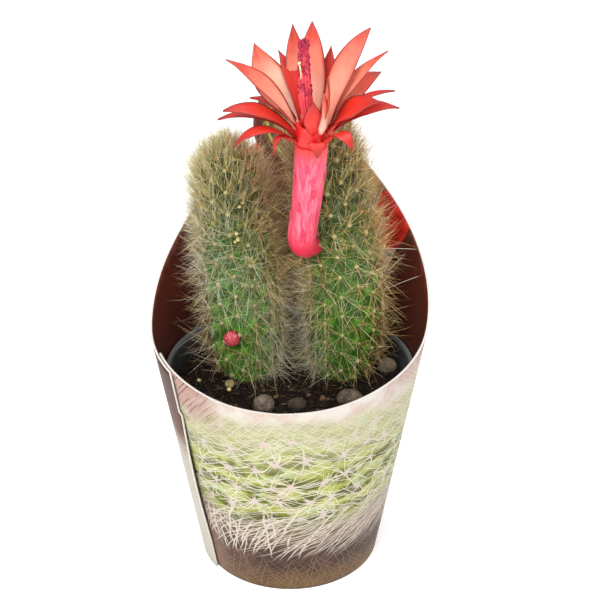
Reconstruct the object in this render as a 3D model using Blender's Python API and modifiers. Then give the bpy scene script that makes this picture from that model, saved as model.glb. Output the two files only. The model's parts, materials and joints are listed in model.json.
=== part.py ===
"""Potted monkey tail cactus in a card sleeve.

Blender script, in metres with +Z up. The origin is the centre of the plant pot's underside.
The front faces -Y, and the sleeve's header stands at the back, at +Y.
Named sizes are in millimetres and become metres in mesh_object().
"""

import math
import random

import bmesh
import bpy
from mathutils import Matrix, Vector, noise
from mathutils.geometry import delaunay_2d_cdt

MM = 0.001
SEED = 7
GAP = 0.3
UP = Vector((0.0, 0.0, 1.0))
WELD = 0.00001
SHARP_ANGLE = math.radians(40.0)
GOLDEN_ANGLE = math.radians(137.5)

# Card sleeve: a cone that opens upwards, with a header behind the plant
CARD_FOOT_RADIUS = 31.8
CARD_FLARE = 0.166
CARD_THICKNESS = 0.7
CARD_UNDER_EDGE = -64.0
CARD_UNDER_DROP = 2.0
CARD_OVER_EDGE = 311.0
CARD_OVER_EDGE_TOP = 309.2
CARD_NOTCH_HEIGHT = 67.0
CARD_LAP_STEP = 1.1
CARD_LAP_FADE = 75.0
CARD_LIFT = 0.9
CARD_LIFT_FOOT = 12.0
CARD_LIFT_SPAN = 17.0
CARD_RIM = (
    (0, 79.0),
    (22, 80.0),
    (45, 82.8),
    (66, 86.0),
    (87, 90.6),
    (110, 101.8),
    (135, 117.0),
    (162, 134.8),
)
CARD_RIM_STEP = 4.5
HEADER_AZIMUTH = 180.0
HEADER_CENTRE_HEIGHT = 141.0
HEADER_RADIUS = 18.2
HEADER_POINTS = 26
CARD_INNER_ROWS = (14.0, 32.0, 50.0, 68.0)
CARD_HIGH_ROWS = (86.0, 104.0, 122.0, 140.0)
CARD_COLUMN_STEP = 9.0
CARD_EDGE_MARGIN = 4.0
CARD_MM_PER_DEGREE = 0.8

# Plant pot: 8.5 cm across its lip
POT_HEIGHT = 73.2
POT_FOOT_RADIUS = 30.3
POT_WALL = 0.9
POT_FLOOR = 1.2
POT_LIP_RADIUS = 42.85
POT_LIP_FOOT_RADIUS = 42.0
POT_LIP_DEPTH = 5.2
POT_NECK_RADIUS = 40.9
POT_LIP_WIDTH = 1.5
POT_EDGE_ROUND = 0.5
POT_SIDES = 36
DRAIN_COUNT = 6
DRAIN_RADIUS = 3.2
DRAIN_RING_RADIUS = 20.0
DRAIN_SIDES = 8

# Soil
SOIL_EDGE_HEIGHT = 66.0
SOIL_MIDDLE_HEIGHT = 64.6
SOIL_BROAD_LUMP = 0.7
SOIL_BROAD_SPAN = 9.0
SOIL_FINE_LUMP = 0.45
SOIL_FINE_SPAN = 3.1
SOIL_CALM_EDGE = 0.12
SOIL_RINGS = 5
SOIL_SIDES = 30

# Stems: x, y, z down the middle of each, and its radius there
STEM_LEFT = (
    (-15.5, 8.8, 50.0, 6.4),
    (-15.6, 8.8, 64.0, 9.2),
    (-16.2, 8.8, 74.0, 11.2),
    (-17.1, 8.8, 92.0, 11.9),
    (-18.7, 8.7, 115.0, 11.2),
    (-20.0, 8.5, 132.0, 9.9),
    (-20.9, 8.4, 147.0, 8.2),
)
STEM_RIGHT = (
    (17.3, 11.2, 50.0, 6.4),
    (17.4, 11.2, 64.0, 9.2),
    (17.8, 11.2, 74.0, 11.2),
    (17.8, 11.1, 92.0, 12.0),
    (16.3, 11.0, 111.0, 11.8),
    (13.3, 10.8, 129.0, 10.9),
    (10.7, 10.5, 143.0, 9.8),
    (9.2, 10.3, 155.5, 8.4),
)
RIBS = 14
RIB_RELIEF = 0.55
AREOLE_PITCH = 7.2
AREOLE_RELIEF = 0.45
FOOT_DEPTH = 15.0
FOOT_POINT = 2.0
RELIEF_RISE = 6.0
TIP_CALM = 0.7
DOME_ROWS = 4
STEM_COLUMNS = 2 * RIBS

# Spines
SPINE_LENGTH = (7.0, 12.5)
SPINE_LOW_GAIN = 1.2
SPINE_GAIN_DROP = 0.6
SPINE_SHORTER = (1.0, 0.6, 0.36)
SPINE_LOW_SLOPE = -0.35
SPINE_SLOPE_GAIN = 1.5
SPINE_SLOPE_SCATTER = 0.45
SPINE_SIDE_SCATTER = 0.7
TIP_SPINES = 7
TIP_SPINE_LENGTH = (4.0, 6.5)
TIP_SPINE_LEAN = (0.1, 0.6)
TIP_SPINE_RING = 3.0
TIP_SPINE_DEPTH = 2.0
SPINE_ROOT_RADIUS = 0.42
SPINE_ROOT_DEPTH = 1.3
SPINE_SAMPLES = 5
SPINE_MARGIN = 1.3
TUBE_BALLS = 14
TEPAL_BALLS = 6
LOWEST_SPINE_TIP = 68.6
POT_CLEAR_RADIUS = 37.5
POT_CLEAR_HEIGHT = 77.0
SPINE_CARD_MARGIN = 3.0

# Flower tube: x, y, z and radius, from inside the right stem's skin up to the mouth
TUBE_PATH = (
    (9.0, 3.4, 116.4, 3.2),
    (6.2, -0.2, 116.9, 3.9),
    (4.7, -3.4, 119.2, 4.5),
    (4.6, -5.2, 124.0, 4.6),
    (5.8, -7.0, 132.0, 4.6),
    (7.0, -9.0, 144.0, 4.9),
    (7.9, -10.8, 155.3, 5.1),
)
TUBE_SIDES = 14
TUBE_ROW_STEP = 3.6
TUBE_SCALES = 16
TUBE_SCALE_LENGTH = 5.0
TUBE_SCALE_WIDTH = 2.2
TUBE_SCALE_RELIEF = 0.5
TUBE_SCALE_DEPTH = 0.6
TUBE_BARE_FOOT = 11.0
TUBE_BARE_MOUTH = 8.0

# Flower mouth: where the tepals and the stamens stand
MOUTH = Vector((7.9, -10.8, 155.3))
MOUTH_AXIS = Vector((0.04, -0.17, 0.98)).normalized()
THROAT_HEIGHT = 6.5
TEPAL_RING_OUTER = 5.0
TEPAL_RING_INNER = 3.5
TEPAL_RING_SIDES = 14
TEPAL_THICKNESS = 0.8
TEPAL_CAMBER = 0.14
TEPAL_FOOT_WIDTH = 0.42
TEPAL_FLAT_SHARE = 0.35
TEPAL_STATIONS = (0.0, 0.25, 0.5, 0.75, 0.93)
TEPAL_ROOT_RADIUS = 4.2

# Each whorl: height of its roots up the ring, arch of the blade, and its tepals.
# A tepal is its azimuth, its rise from level, its length, its width and its roll towards the front.
WHORLS = (
    (
        5.6,
        -1.5,
        (
            (-175, 65, 31.0, 7.6, 0),
            (-152, 61, 31.0, 7.0, 0),
            (-114, 48, 30.0, 9.2, 5),
            (164, 51, 26.0, 5.4, 0),
            (62, 62, 18.0, 4.0, 20),
            (5, 38, 19.0, 7.2, 0),
        ),
    ),
    (
        4.0,
        3.0,
        (
            (108, 58, 33.0, 7.6, 5),
            (-92, 36, 32.0, 6.0, 10),
            (-140, 46, 26.0, 5.6, 0),
            (112, 33, 26.0, 7.6, 15),
            (100, 44, 31.0, 4.4, 10),
            (172, 34, 27.0, 6.0, 0),
            (76, 14, 22.5, 8.6, 35),
            (-104, 17, 21.0, 5.2, 10),
        ),
    ),
    (
        2.4,
        4.0,
        (
            (-76, 11, 27.5, 6.2, 25),
            (-84, 3, 28.5, 4.4, 15),
            (96, 22, 26.5, 3.6, 15),
            (93, 11, 26.5, 6.0, 25),
            (-130, 22, 27.0, 5.4, 0),
            (140, 24, 26.0, 5.4, 0),
            (-165, 26, 26.0, 5.4, 0),
        ),
    ),
    (
        1.0,
        5.0,
        (
            (-62, -9, 26.0, 4.6, 10),
            (48, -13, 20.0, 6.4, 30),
            (12, -38, 12.5, 5.0, 0),
            (-58, -32, 15.0, 3.4, 0),
            (160, 12, 20.0, 4.6, 0),
        ),
    ),
)

# Stamens: a leaning bundle with the anthers round its upper part
STAMEN_PATH = ((8.2, -11.0, 156.0), (6.8, -11.8, 164.0), (5.8, -11.6, 173.0), (5.4, -10.9, 187.0))
STAMEN_FOOT_RADIUS = 1.4
STAMEN_TOP_RADIUS = 1.5
STAMEN_TAPER_START = 0.9
STAMEN_COLUMN_SIDES = 8
STAMEN_ROWS = 8
ANTHERS = 36
ANTHER_RADIUS = 0.75
ANTHER_LENGTHENING = 1.3
ANTHER_LOWEST = 0.4
FILAMENTS = 9
FILAMENT_LENGTH = 10.0
FILAMENT_ROOT_RADIUS = 0.4
FILAMENT_ROOT_SHARE = 0.28
FILAMENT_SPREAD = (0.12, 0.22)
STYLE_LENGTH = 2.5

# Bud on the left stem
BUD_CENTRE = Vector((-19.3, -4.6, 83.6))
BUD_RADIUS = 2.7
BUD_COLUMNS = 16
BUD_ROWS = 9
BUD_RELIEF = 0.22

# Stones: x, y and the three half sizes
STONES = (
    (-7.1, -18.0, 3.6, 3.3, 3.5),
    (21.3, -11.5, 4.4, 3.3, 3.0),
    (33.4, 10.3, 3.5, 3.2, 2.8),
    (4.0, -16.6, 3.2, 2.6, 2.3),
    (-20.6, -4.4, 1.7, 1.5, 1.5),
    (-23.5, -19.0, 2.2, 1.9, 1.6),
)
STONE_SINK = 0.3
STONE_ROUGHNESS = 0.12

COLOURS = {
    "sleeve": ((0.55, 0.42, 0.30), 0.6),
    "nursery_pot": ((0.03, 0.03, 0.035), 0.45),
    "soil": ((0.035, 0.022, 0.016), 0.95),
    "stem_left": ((0.10, 0.25, 0.05), 0.6),
    "stem_right": ((0.09, 0.22, 0.05), 0.6),
    "flower_tube": ((0.85, 0.10, 0.22), 0.5),
    "flower_tepals": ((0.85, 0.08, 0.04), 0.45),
    "flower_stamens": ((0.42, 0.01, 0.06), 0.5),
    "bud": ((0.60, 0.02, 0.04), 0.5),
    "stone": ((0.20, 0.16, 0.12), 0.85),
}


def clear_scene():
    for obj in list(bpy.data.objects):
        bpy.data.objects.remove(obj, do_unlink=True)


def new_collection(name):
    collection = bpy.data.collections.new(name)
    bpy.context.scene.collection.children.link(collection)
    return collection


def material_for(name):
    colour, roughness = COLOURS["stone" if name.startswith("stone") else name]
    material = bpy.data.materials.new(name)
    material.use_nodes = True
    shader = material.node_tree.nodes["Principled BSDF"]
    shader.inputs["Base Color"].default_value = (*colour, 1.0)
    shader.inputs["Roughness"].default_value = roughness
    shader.inputs["Metallic"].default_value = 0.0
    material.diffuse_color = (*colour, 1.0)
    return material


def mesh_object(name, points, faces, collection):
    """An object made from points in millimetres."""
    mesh = bpy.data.meshes.new(name)
    mesh.from_pydata([Vector(point) * MM for point in points], [], faces)
    mesh.update()
    obj = bpy.data.objects.new(name, mesh)
    collection.objects.link(obj)
    return obj


def finish_part(obj):
    """Gives a part its material and smooth shading with sharp edges kept."""
    obj.data.materials.clear()
    obj.data.materials.append(material_for(obj.name))
    obj.data.shade_smooth()
    obj.data.set_sharp_from_angle(angle=SHARP_ANGLE)


def move_to(obj, collection):
    for old in list(obj.users_collection):
        old.objects.unlink(obj)
    collection.objects.link(obj)


def make_cutter(obj):
    obj.hide_render = True
    obj.display_type = "WIRE"


def settle(obj):
    """Replaces an object's mesh by its evaluated one and drops its modifiers."""
    graph = bpy.context.evaluated_depsgraph_get()
    mesh = bpy.data.meshes.new_from_object(obj.evaluated_get(graph))
    obj.modifiers.clear()
    obj.data = mesh


def islands(shape):
    """The groups of faces of a bmesh that hang together."""
    unseen = set(shape.faces)
    groups = []
    while unseen:
        queue = [unseen.pop()]
        group = []
        while queue:
            face = queue.pop()
            group.append(face)
            for edge in face.edges:
                for beside in edge.link_faces:
                    if beside in unseen:
                        unseen.remove(beside)
                        queue.append(beside)
        groups.append(group)
    return groups


def keep_outer_skin(obj):
    """Fills each hollow that fusing sealed and drops each loose scrap, by keeping the largest skin only."""
    shape = bmesh.new()
    shape.from_mesh(obj.data)
    groups = sorted(islands(shape), key=lambda group: sum(face.calc_area() for face in group))
    inner = [face for group in groups[:-1] for face in group]
    bmesh.ops.delete(shape, geom=inner, context="FACES")
    shape.to_mesh(obj.data)
    shape.free()


def fuse(obj, repeats):
    """Joins small repeated solids to their core with one Boolean union."""
    bunch = new_collection(f"{obj.name}_repeats")
    for repeat in repeats:
        bunch.objects.link(repeat)
    union = obj.modifiers.new("Fuse", "BOOLEAN")
    union.operation = "UNION"
    union.operand_type = "COLLECTION"
    union.collection = bunch
    union.solver = "MANIFOLD"
    settle(obj)
    keep_outer_skin(obj)
    for repeat in repeats:
        bpy.data.objects.remove(repeat, do_unlink=True)
    bpy.data.collections.remove(bunch)


def cut(obj, cutter):
    difference = obj.modifiers.new(f"Cut {cutter.name}", "BOOLEAN")
    difference.operation = "DIFFERENCE"
    difference.object = cutter


def loose_object(points, faces):
    """An unlinked solid in millimetres, to be fused to a core."""
    mesh = bpy.data.meshes.new("repeat")
    mesh.from_pydata([Vector(point) * MM for point in points], [], faces)
    return bpy.data.objects.new("repeat", mesh)


def smooth_step(value):
    value = min(max(value, 0.0), 1.0)
    return value * value * (3.0 - 2.0 * value)


def spline_value(knots, position):
    """A Catmull-Rom curve through (position, value) knots, where a value is a number or a Vector."""
    last = len(knots) - 2
    index = 0
    while index < last and position > knots[index + 1][0]:
        index += 1
    (start, before), (end, after) = knots[index], knots[index + 1]
    share = (position - start) / (end - start)
    lower, upper = knots[max(index - 1, 0)], knots[min(index + 2, len(knots) - 1)]
    slope_in = (after - lower[1]) * ((end - start) / (end - lower[0]))
    slope_out = (upper[1] - before) * ((end - start) / (upper[0] - start))
    square, cube = share**2, share**3
    return (
        before * (2 * cube - 3 * square + 1)
        + slope_in * (cube - 2 * square + share)
        + after * (3 * square - 2 * cube)
        + slope_out * (cube - square)
    )


def turned(name, profile, steps, collection):
    """A profile of (radius, height) turned round Z. Its outer side runs from top to bottom."""
    points = [(radius, 0.0, height) for radius, height in profile]
    edges = [(index, index + 1) for index in range(len(points) - 1)]
    mesh = bpy.data.meshes.new(name)
    mesh.from_pydata([Vector(point) * MM for point in points], edges, [])
    obj = bpy.data.objects.new(name, mesh)
    collection.objects.link(obj)
    screw = obj.modifiers.new("Turn", "SCREW")
    screw.steps = steps
    screw.render_steps = steps
    screw.use_merge_vertices = True
    screw.merge_threshold = WELD
    screw.use_smooth_shade = True
    return obj


def ring_faces(rows, columns, cap_start, cap_end):
    """Triangles of a lofted tube whose points run row by row, with a fan to a pole at each capped end."""
    faces = []
    for row in range(rows - 1):
        for column in range(columns):
            here = row * columns + column
            beside = row * columns + (column + 1) % columns
            faces.append((here, beside, beside + columns))
            faces.append((here, beside + columns, here + columns))
    first_pole = rows * columns
    if cap_start:
        faces += [(first_pole, (column + 1) % columns, column) for column in range(columns)]
    if cap_end:
        top = (rows - 1) * columns
        pole = first_pole + int(cap_start)
        faces += [(pole, top + column, top + (column + 1) % columns) for column in range(columns)]
    return faces


# Card sleeve


def card_radius(height):
    return CARD_FOOT_RADIUS + CARD_FLARE * height


def card_point(azimuth, height):
    """A point on the sleeve's outer face. Azimuth 0 is the front, and it grows towards +X."""
    radius = card_radius(height)
    to_edge = CARD_OVER_EDGE - azimuth
    radius += CARD_LAP_STEP * smooth_step(1.0 - to_edge / CARD_LAP_FADE)
    lift_height = (height - CARD_LIFT_FOOT) / (CARD_NOTCH_HEIGHT - CARD_LIFT_FOOT)
    if 0.0 < lift_height < 1.0:
        lift = CARD_LIFT * math.sin(math.pi * lift_height)
        radius += lift * smooth_step(1.0 - to_edge / CARD_LIFT_SPAN)
    angle = math.radians(azimuth)
    return Vector((radius * math.sin(angle), -radius * math.cos(angle), height))


def card_rim_height(azimuth):
    from_front = abs((azimuth + 180.0) % 360.0 - 180.0)
    return spline_value(CARD_RIM, from_front)


def header_outline():
    """The header's round edge as (azimuth, height), from the neck on the right up and over to the left."""
    neck = math.asin((CARD_RIM[-1][1] - HEADER_CENTRE_HEIGHT) / HEADER_RADIUS)
    outline = []
    for index in range(HEADER_POINTS + 1):
        angle = neck + (math.pi - 2.0 * neck) * index / HEADER_POINTS
        height = HEADER_CENTRE_HEIGHT + HEADER_RADIUS * math.sin(angle)
        across = HEADER_RADIUS * math.cos(angle)
        outline.append((HEADER_AZIMUTH - math.degrees(across / card_radius(height)), height))
    return outline


def card_outline():
    """The sleeve's flat outline as (azimuth, height), anticlockwise from the hidden under edge's foot."""
    count = round((CARD_OVER_EDGE - CARD_UNDER_EDGE) / CARD_RIM_STEP)
    step = (CARD_OVER_EDGE - CARD_UNDER_EDGE) / count
    outline = [(CARD_UNDER_EDGE + step * index, 0.0) for index in range(count + 1)]
    outline += [(CARD_OVER_EDGE, height) for height in CARD_INNER_ROWS[:3]]
    outline += [(CARD_OVER_EDGE, CARD_NOTCH_HEIGHT), (CARD_OVER_EDGE_TOP, CARD_NOTCH_HEIGHT + 1.0)]
    neck = CARD_RIM[-1][0]
    azimuth = CARD_OVER_EDGE_TOP
    while azimuth > 360.0 - neck + CARD_RIM_STEP / 2:
        outline.append((azimuth, card_rim_height(azimuth)))
        azimuth -= CARD_RIM_STEP
    outline.append((360.0 - neck, CARD_RIM[-1][1]))
    outline += header_outline()
    azimuth = neck
    while azimuth > CARD_UNDER_EDGE:
        outline.append((azimuth, card_rim_height(azimuth)))
        azimuth -= CARD_RIM_STEP
    outline.append((CARD_UNDER_EDGE, card_rim_height(CARD_UNDER_EDGE) - CARD_UNDER_DROP))
    return outline


def card_inner_points():
    """Points inside the flat outline that let the sheet bend round."""
    points = []
    columns = round((CARD_OVER_EDGE - CARD_UNDER_EDGE) / CARD_COLUMN_STEP)
    for column in range(1, columns):
        azimuth = CARD_UNDER_EDGE + (CARD_OVER_EDGE - CARD_UNDER_EDGE) * column / columns
        for height in CARD_INNER_ROWS + CARD_HIGH_ROWS:
            if height < card_top(azimuth) - CARD_EDGE_MARGIN:
                points.append((azimuth, height))
    return points


def card_top(azimuth):
    """The height of the sheet's top edge, header included."""
    across = math.radians(azimuth - HEADER_AZIMUTH) * card_radius(HEADER_CENTRE_HEIGHT)
    if abs(across) < HEADER_RADIUS - CARD_THICKNESS * 2:
        return HEADER_CENTRE_HEIGHT + math.sqrt(HEADER_RADIUS**2 - across**2)
    return card_rim_height(azimuth)


def make_sleeve(collection):
    outline = card_outline()
    flat = outline + card_inner_points()
    edges = [(index, (index + 1) % len(outline)) for index in range(len(outline))]
    scaled = [Vector((azimuth * CARD_MM_PER_DEGREE, height)) for azimuth, height in flat]
    sheet = delaunay_2d_cdt(scaled, edges, [], 1, 0.0001)
    points = [card_point(point.x / CARD_MM_PER_DEGREE, point.y) for point in sheet[0]]
    sleeve = mesh_object("sleeve", points, [tuple(face) for face in sheet[2]], collection)
    thick = sleeve.modifiers.new("Card", "SOLIDIFY")
    thick.thickness = CARD_THICKNESS * MM
    thick.offset = -1.0
    finish_part(sleeve)
    return sleeve


# Plant pot and soil


def pot_inner_radius(height):
    share = height / (POT_HEIGHT - POT_LIP_DEPTH)
    return POT_FOOT_RADIUS - POT_WALL + (POT_NECK_RADIUS - POT_FOOT_RADIUS) * share


def make_pot(parts, cutters):
    lip_foot = POT_HEIGHT - POT_LIP_DEPTH
    profile = [
        (0.0, POT_FLOOR),
        (pot_inner_radius(POT_FLOOR), POT_FLOOR),
        (pot_inner_radius(lip_foot), lip_foot),
        (POT_LIP_RADIUS - POT_LIP_WIDTH, POT_HEIGHT - POT_EDGE_ROUND),
        (POT_LIP_RADIUS - POT_LIP_WIDTH + POT_EDGE_ROUND, POT_HEIGHT),
        (POT_LIP_RADIUS - POT_EDGE_ROUND, POT_HEIGHT),
        (POT_LIP_RADIUS, POT_HEIGHT - POT_EDGE_ROUND),
        (POT_LIP_FOOT_RADIUS, lip_foot),
        (POT_NECK_RADIUS, lip_foot - POT_EDGE_ROUND),
        (POT_FOOT_RADIUS, POT_EDGE_ROUND * 2),
        (POT_FOOT_RADIUS - POT_EDGE_ROUND, 0.0),
        (0.0, 0.0),
    ]
    pot = turned("nursery_pot", profile, POT_SIDES, parts)
    for index in range(DRAIN_COUNT):
        angle = 2 * math.pi * index / DRAIN_COUNT
        place = Vector((math.cos(angle), math.sin(angle), 0.0)) * DRAIN_RING_RADIUS * MM
        bpy.ops.mesh.primitive_cylinder_add(
            vertices=DRAIN_SIDES, radius=DRAIN_RADIUS * MM, depth=4 * POT_FLOOR * MM, location=place
        )
        cutter = bpy.context.object
        cutter.name = f"drain_cutter_{index + 1}"
        move_to(cutter, cutters)
        make_cutter(cutter)
        cut(pot, cutter)
    settle(pot)
    finish_part(pot)
    return pot


def soil_height(x, y):
    """The uneven top of the soil, lower in the middle and crumbly all over."""
    reach = math.hypot(x, y) / pot_inner_radius(SOIL_EDGE_HEIGHT)
    level = SOIL_MIDDLE_HEIGHT + (SOIL_EDGE_HEIGHT - SOIL_MIDDLE_HEIGHT) * reach**2
    broad = SOIL_BROAD_LUMP * noise.noise(Vector((x / SOIL_BROAD_SPAN, y / SOIL_BROAD_SPAN, SEED)))
    fine = SOIL_FINE_LUMP * noise.noise(Vector((x / SOIL_FINE_SPAN, y / SOIL_FINE_SPAN, -SEED)))
    return level + (broad + fine) * smooth_step((1.0 - reach) / SOIL_CALM_EDGE)


def make_soil(collection):
    edge = pot_inner_radius(SOIL_EDGE_HEIGHT) - GAP
    foot = POT_FLOOR + GAP
    top = [(edge * index / SOIL_RINGS, SOIL_MIDDLE_HEIGHT) for index in range(SOIL_RINGS + 1)]
    profile = top + [(pot_inner_radius(foot) - GAP, foot), (0.0, foot)]
    soil = turned("soil", profile, SOIL_SIDES, collection)
    settle(soil)
    for vertex in soil.data.vertices:
        if vertex.co.z > (SOIL_MIDDLE_HEIGHT - 1.0) * MM:
            vertex.co.z = soil_height(vertex.co.x / MM, vertex.co.y / MM) * MM
    finish_part(soil)
    return soil


# Stems


def stem_knots(stem):
    return [(z, Vector((x, y, z, radius))) for x, y, z, radius in stem]


def stem_rows(stem):
    """Heights of the stem's rows: the foot, the rows at half an areole pitch, and the domed tip."""
    foot, tip = stem[0][2], stem[-1][2]
    tip_radius = stem[-1][3]
    rows = [foot, foot + FOOT_DEPTH / 2, foot + FOOT_DEPTH - FOOT_POINT / 2]
    height = foot + FOOT_DEPTH + FOOT_POINT
    while height < tip - tip_radius:
        rows.append(height)
        height += AREOLE_PITCH / 2
    dome_foot = tip - tip_radius
    rows += [dome_foot + tip_radius * math.sin(math.pi / 2 * index / DOME_ROWS) for index in range(DOME_ROWS)]
    return rows


def stem_shape(stem, height):
    """The middle, the radius and the strength of the relief at a height."""
    knots = stem_knots(stem)
    tip, tip_radius = stem[-1][2], stem[-1][3]
    value = spline_value(knots, height)
    above = max(height - (tip - tip_radius), 0.0) / tip_radius
    radius = value.w * math.sqrt(max(1.0 - above**2, 0.0))
    strength = smooth_step((height - stem[0][2] - FOOT_DEPTH) / RELIEF_RISE) * (1.0 - TIP_CALM * above)
    return Vector(value[:3]), radius, strength


def skin_point(stem, turn, row, height, spread):
    """A point on the stem's skin. Turn counts half ribs, so even turns lie on the ribs' crests."""
    middle, radius, strength = stem_shape(stem, height)
    on_crest = turn % 2 == 0
    relief = RIB_RELIEF if on_crest else -RIB_RELIEF
    if on_crest and (turn // 2 + row) % 2 == 0:
        relief += AREOLE_RELIEF
    angle = math.pi * turn / RIBS
    reach = radius + relief * strength + spread
    return middle + Vector((math.sin(angle), -math.cos(angle), 0.0)) * reach


def stem_body(name, stem, spread, collection):
    """The ribbed body of a stem, grown outwards by spread."""
    rows = stem_rows(stem)
    points = []
    for row, height in enumerate(rows):
        for turn in range(STEM_COLUMNS):
            points.append(skin_point(stem, turn, row, height, spread))
    foot_middle = stem_shape(stem, rows[0])[0]
    points.append(foot_middle - UP * (FOOT_POINT + spread))
    points.append(Vector((stem[-1][0], stem[-1][1], stem[-1][2] + spread)))
    return mesh_object(name, points, ring_faces(len(rows), STEM_COLUMNS, True, True), collection)


def needle(root, tip, radius):
    """A slim three-sided spine."""
    along = (tip - root).normalized()
    side = along.orthogonal().normalized()
    turns = [Matrix.Rotation(2 * math.pi * index / 3, 3, along) for index in range(3)]
    corners = [turn @ side * radius + root for turn in turns]
    return loose_object([*corners, tip], [(0, 2, 1), (0, 1, 3), (1, 2, 3), (2, 0, 3)])


def tube_balls():
    knots = tube_knots()
    values = [spline_value(knots, knots[-1][0] * index / TUBE_BALLS) for index in range(TUBE_BALLS + 1)]
    return [(Vector(value[:3]), value.w + TUBE_SCALE_RELIEF) for value in values]


def keep_clear_balls():
    """Balls, as (centre, radius), that no spine may enter: the flower, the bud and the stones."""
    balls = tube_balls()
    for root_height, arch, tepals in WHORLS:
        for azimuth, rise, length, width, _ in tepals:
            spine = tepal_spine(root_height, arch, azimuth, rise, length)
            balls += [(spine(share / TEPAL_BALLS), width / 2) for share in range(TEPAL_BALLS + 1)]
    balls.append((BUD_CENTRE, BUD_RADIUS))
    balls += [(Vector((x, y, soil_height(x, y))), max(size)) for x, y, *size in STONES]
    return balls


def spine_is_clear(root, tip, middle_here, middle_there, balls):
    if tip.z < LOWEST_SPINE_TIP:
        return False
    if tip.z < POT_CLEAR_HEIGHT and math.hypot(tip.x, tip.y) > POT_CLEAR_RADIUS:
        return False
    if math.hypot(tip.x, tip.y) > card_radius(tip.z) - SPINE_CARD_MARGIN:
        return False
    across = (middle_there - middle_here).normalized()
    halfway = (middle_there - middle_here).length / 2
    if max((root - middle_here).dot(across), (tip - middle_here).dot(across)) > halfway - SPINE_MARGIN / 2:
        return False
    for index in range(SPINE_SAMPLES + 1):
        point = root.lerp(tip, index / SPINE_SAMPLES)
        if any((point - centre).length < radius + SPINE_MARGIN for centre, radius in balls):
            return False
    return True


def spine_length(height_share, draw):
    """Long near the soil and short round the tip."""
    return draw.uniform(*SPINE_LENGTH) * (SPINE_LOW_GAIN - SPINE_GAIN_DROP * height_share)


def spine_direction(outward, height_share, draw):
    """Low spines droop outwards, high ones rise, and all of them scatter."""
    upward = SPINE_LOW_SLOPE + SPINE_SLOPE_GAIN * height_share
    upward += draw.uniform(-SPINE_SLOPE_SCATTER, SPINE_SLOPE_SCATTER)
    sideways = outward.cross(UP) * draw.uniform(-SPINE_SIDE_SCATTER, SPINE_SIDE_SCATTER)
    return (outward + UP * upward + sideways).normalized()


def side_spine(stem, other, row, rib, height, balls, draw):
    """One spine on an areole, shortened until it is clear, or None."""
    foot, tip = stem[0][2] + FOOT_DEPTH, stem[-1][2]
    skin = skin_point(stem, 2 * rib, row, height, 0.0)
    middle = stem_shape(stem, height)[0]
    above = max(height - (tip - stem[-1][3]), 0.0) / stem[-1][3]
    outward = ((skin - middle).normalized() + UP * above).normalized()
    there = stem_shape(other, min(height, other[-1][2]))[0]
    height_share = (height - foot) / (tip - foot)
    reach = spine_direction(outward, height_share, draw) * spine_length(height_share, draw)
    for share in SPINE_SHORTER:
        if spine_is_clear(skin, skin + reach * share, middle, there, balls):
            return needle(skin - outward * SPINE_ROOT_DEPTH, skin + reach * share, SPINE_ROOT_RADIUS)
    return None


def tip_spine(stem, index, draw):
    """One of the short spines round the growing tip."""
    top = Vector(stem[-1][:3])
    angle = 2 * math.pi * index / TIP_SPINES
    lean = Vector((math.sin(angle), math.cos(angle), 0.0)) * draw.uniform(*TIP_SPINE_LEAN)
    skin = top + lean * TIP_SPINE_RING
    end = skin + (UP + lean).normalized() * draw.uniform(*TIP_SPINE_LENGTH)
    return needle(skin - UP * TIP_SPINE_DEPTH, end, SPINE_ROOT_RADIUS)


def stem_spines(stem, other, balls, draw):
    spines = []
    for row, height in enumerate(stem_rows(stem)):
        if height < stem[0][2] + FOOT_DEPTH:
            continue
        for rib in range(row % 2, RIBS, 2):
            spines.append(side_spine(stem, other, row, rib, height, balls, draw))
    spines += [tip_spine(stem, index, draw) for index in range(TIP_SPINES)]
    return [spine for spine in spines if spine]


def make_stem(name, stem, other, balls, collection):
    draw = random.Random(f"{name} {SEED}")
    body = stem_body(name, stem, 0.0, collection)
    fuse(body, stem_spines(stem, other, balls, draw))
    finish_part(body)
    return body


# Flower


def tube_knots():
    knots = []
    length = 0.0
    before = None
    for x, y, z, radius in TUBE_PATH:
        point = Vector((x, y, z))
        length += (point - before).length if before else 0.0
        knots.append((length, Vector((x, y, z, radius))))
        before = point
    return knots


def tube_frame(knots, length):
    """The middle, the radius, the direction and two sideways axes at a length along the tube."""
    value = spline_value(knots, length)
    ahead = spline_value(knots, min(length + 0.5, knots[-1][0]))
    behind = spline_value(knots, max(length - 0.5, 0.0))
    along = Vector((ahead - behind)[:3]).normalized()
    side = Vector((1.0, 0.0, 0.0))
    side = (side - along * side.dot(along)).normalized()
    return Vector(value[:3]), value.w, along, side, along.cross(side)


def tube_surface(knots, length, angle, rise):
    middle, radius, _, side, back = tube_frame(knots, length)
    return middle + (side * math.cos(angle) + back * math.sin(angle)) * (radius + rise)


def tube_scale(knots, length, angle):
    """A small pointed scale that lies against the tube with its tip upwards."""
    half = TUBE_SCALE_WIDTH / 2 / tube_frame(knots, length)[1]
    middle = length + TUBE_SCALE_LENGTH / 2
    left = tube_surface(knots, length, angle - half, -TUBE_SCALE_DEPTH)
    right = tube_surface(knots, length, angle + half, -TUBE_SCALE_DEPTH)
    ridge = tube_surface(knots, middle, angle, TUBE_SCALE_RELIEF)
    tip = tube_surface(knots, length + TUBE_SCALE_LENGTH, angle, TUBE_SCALE_RELIEF / 2)
    inner = tube_surface(knots, middle, angle, -TUBE_SCALE_DEPTH)
    faces = [(0, 1, 2), (0, 2, 3), (2, 1, 3), (0, 3, 4), (3, 1, 4), (1, 0, 4)]
    return loose_object([left, right, ridge, tip, inner], faces)


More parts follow.
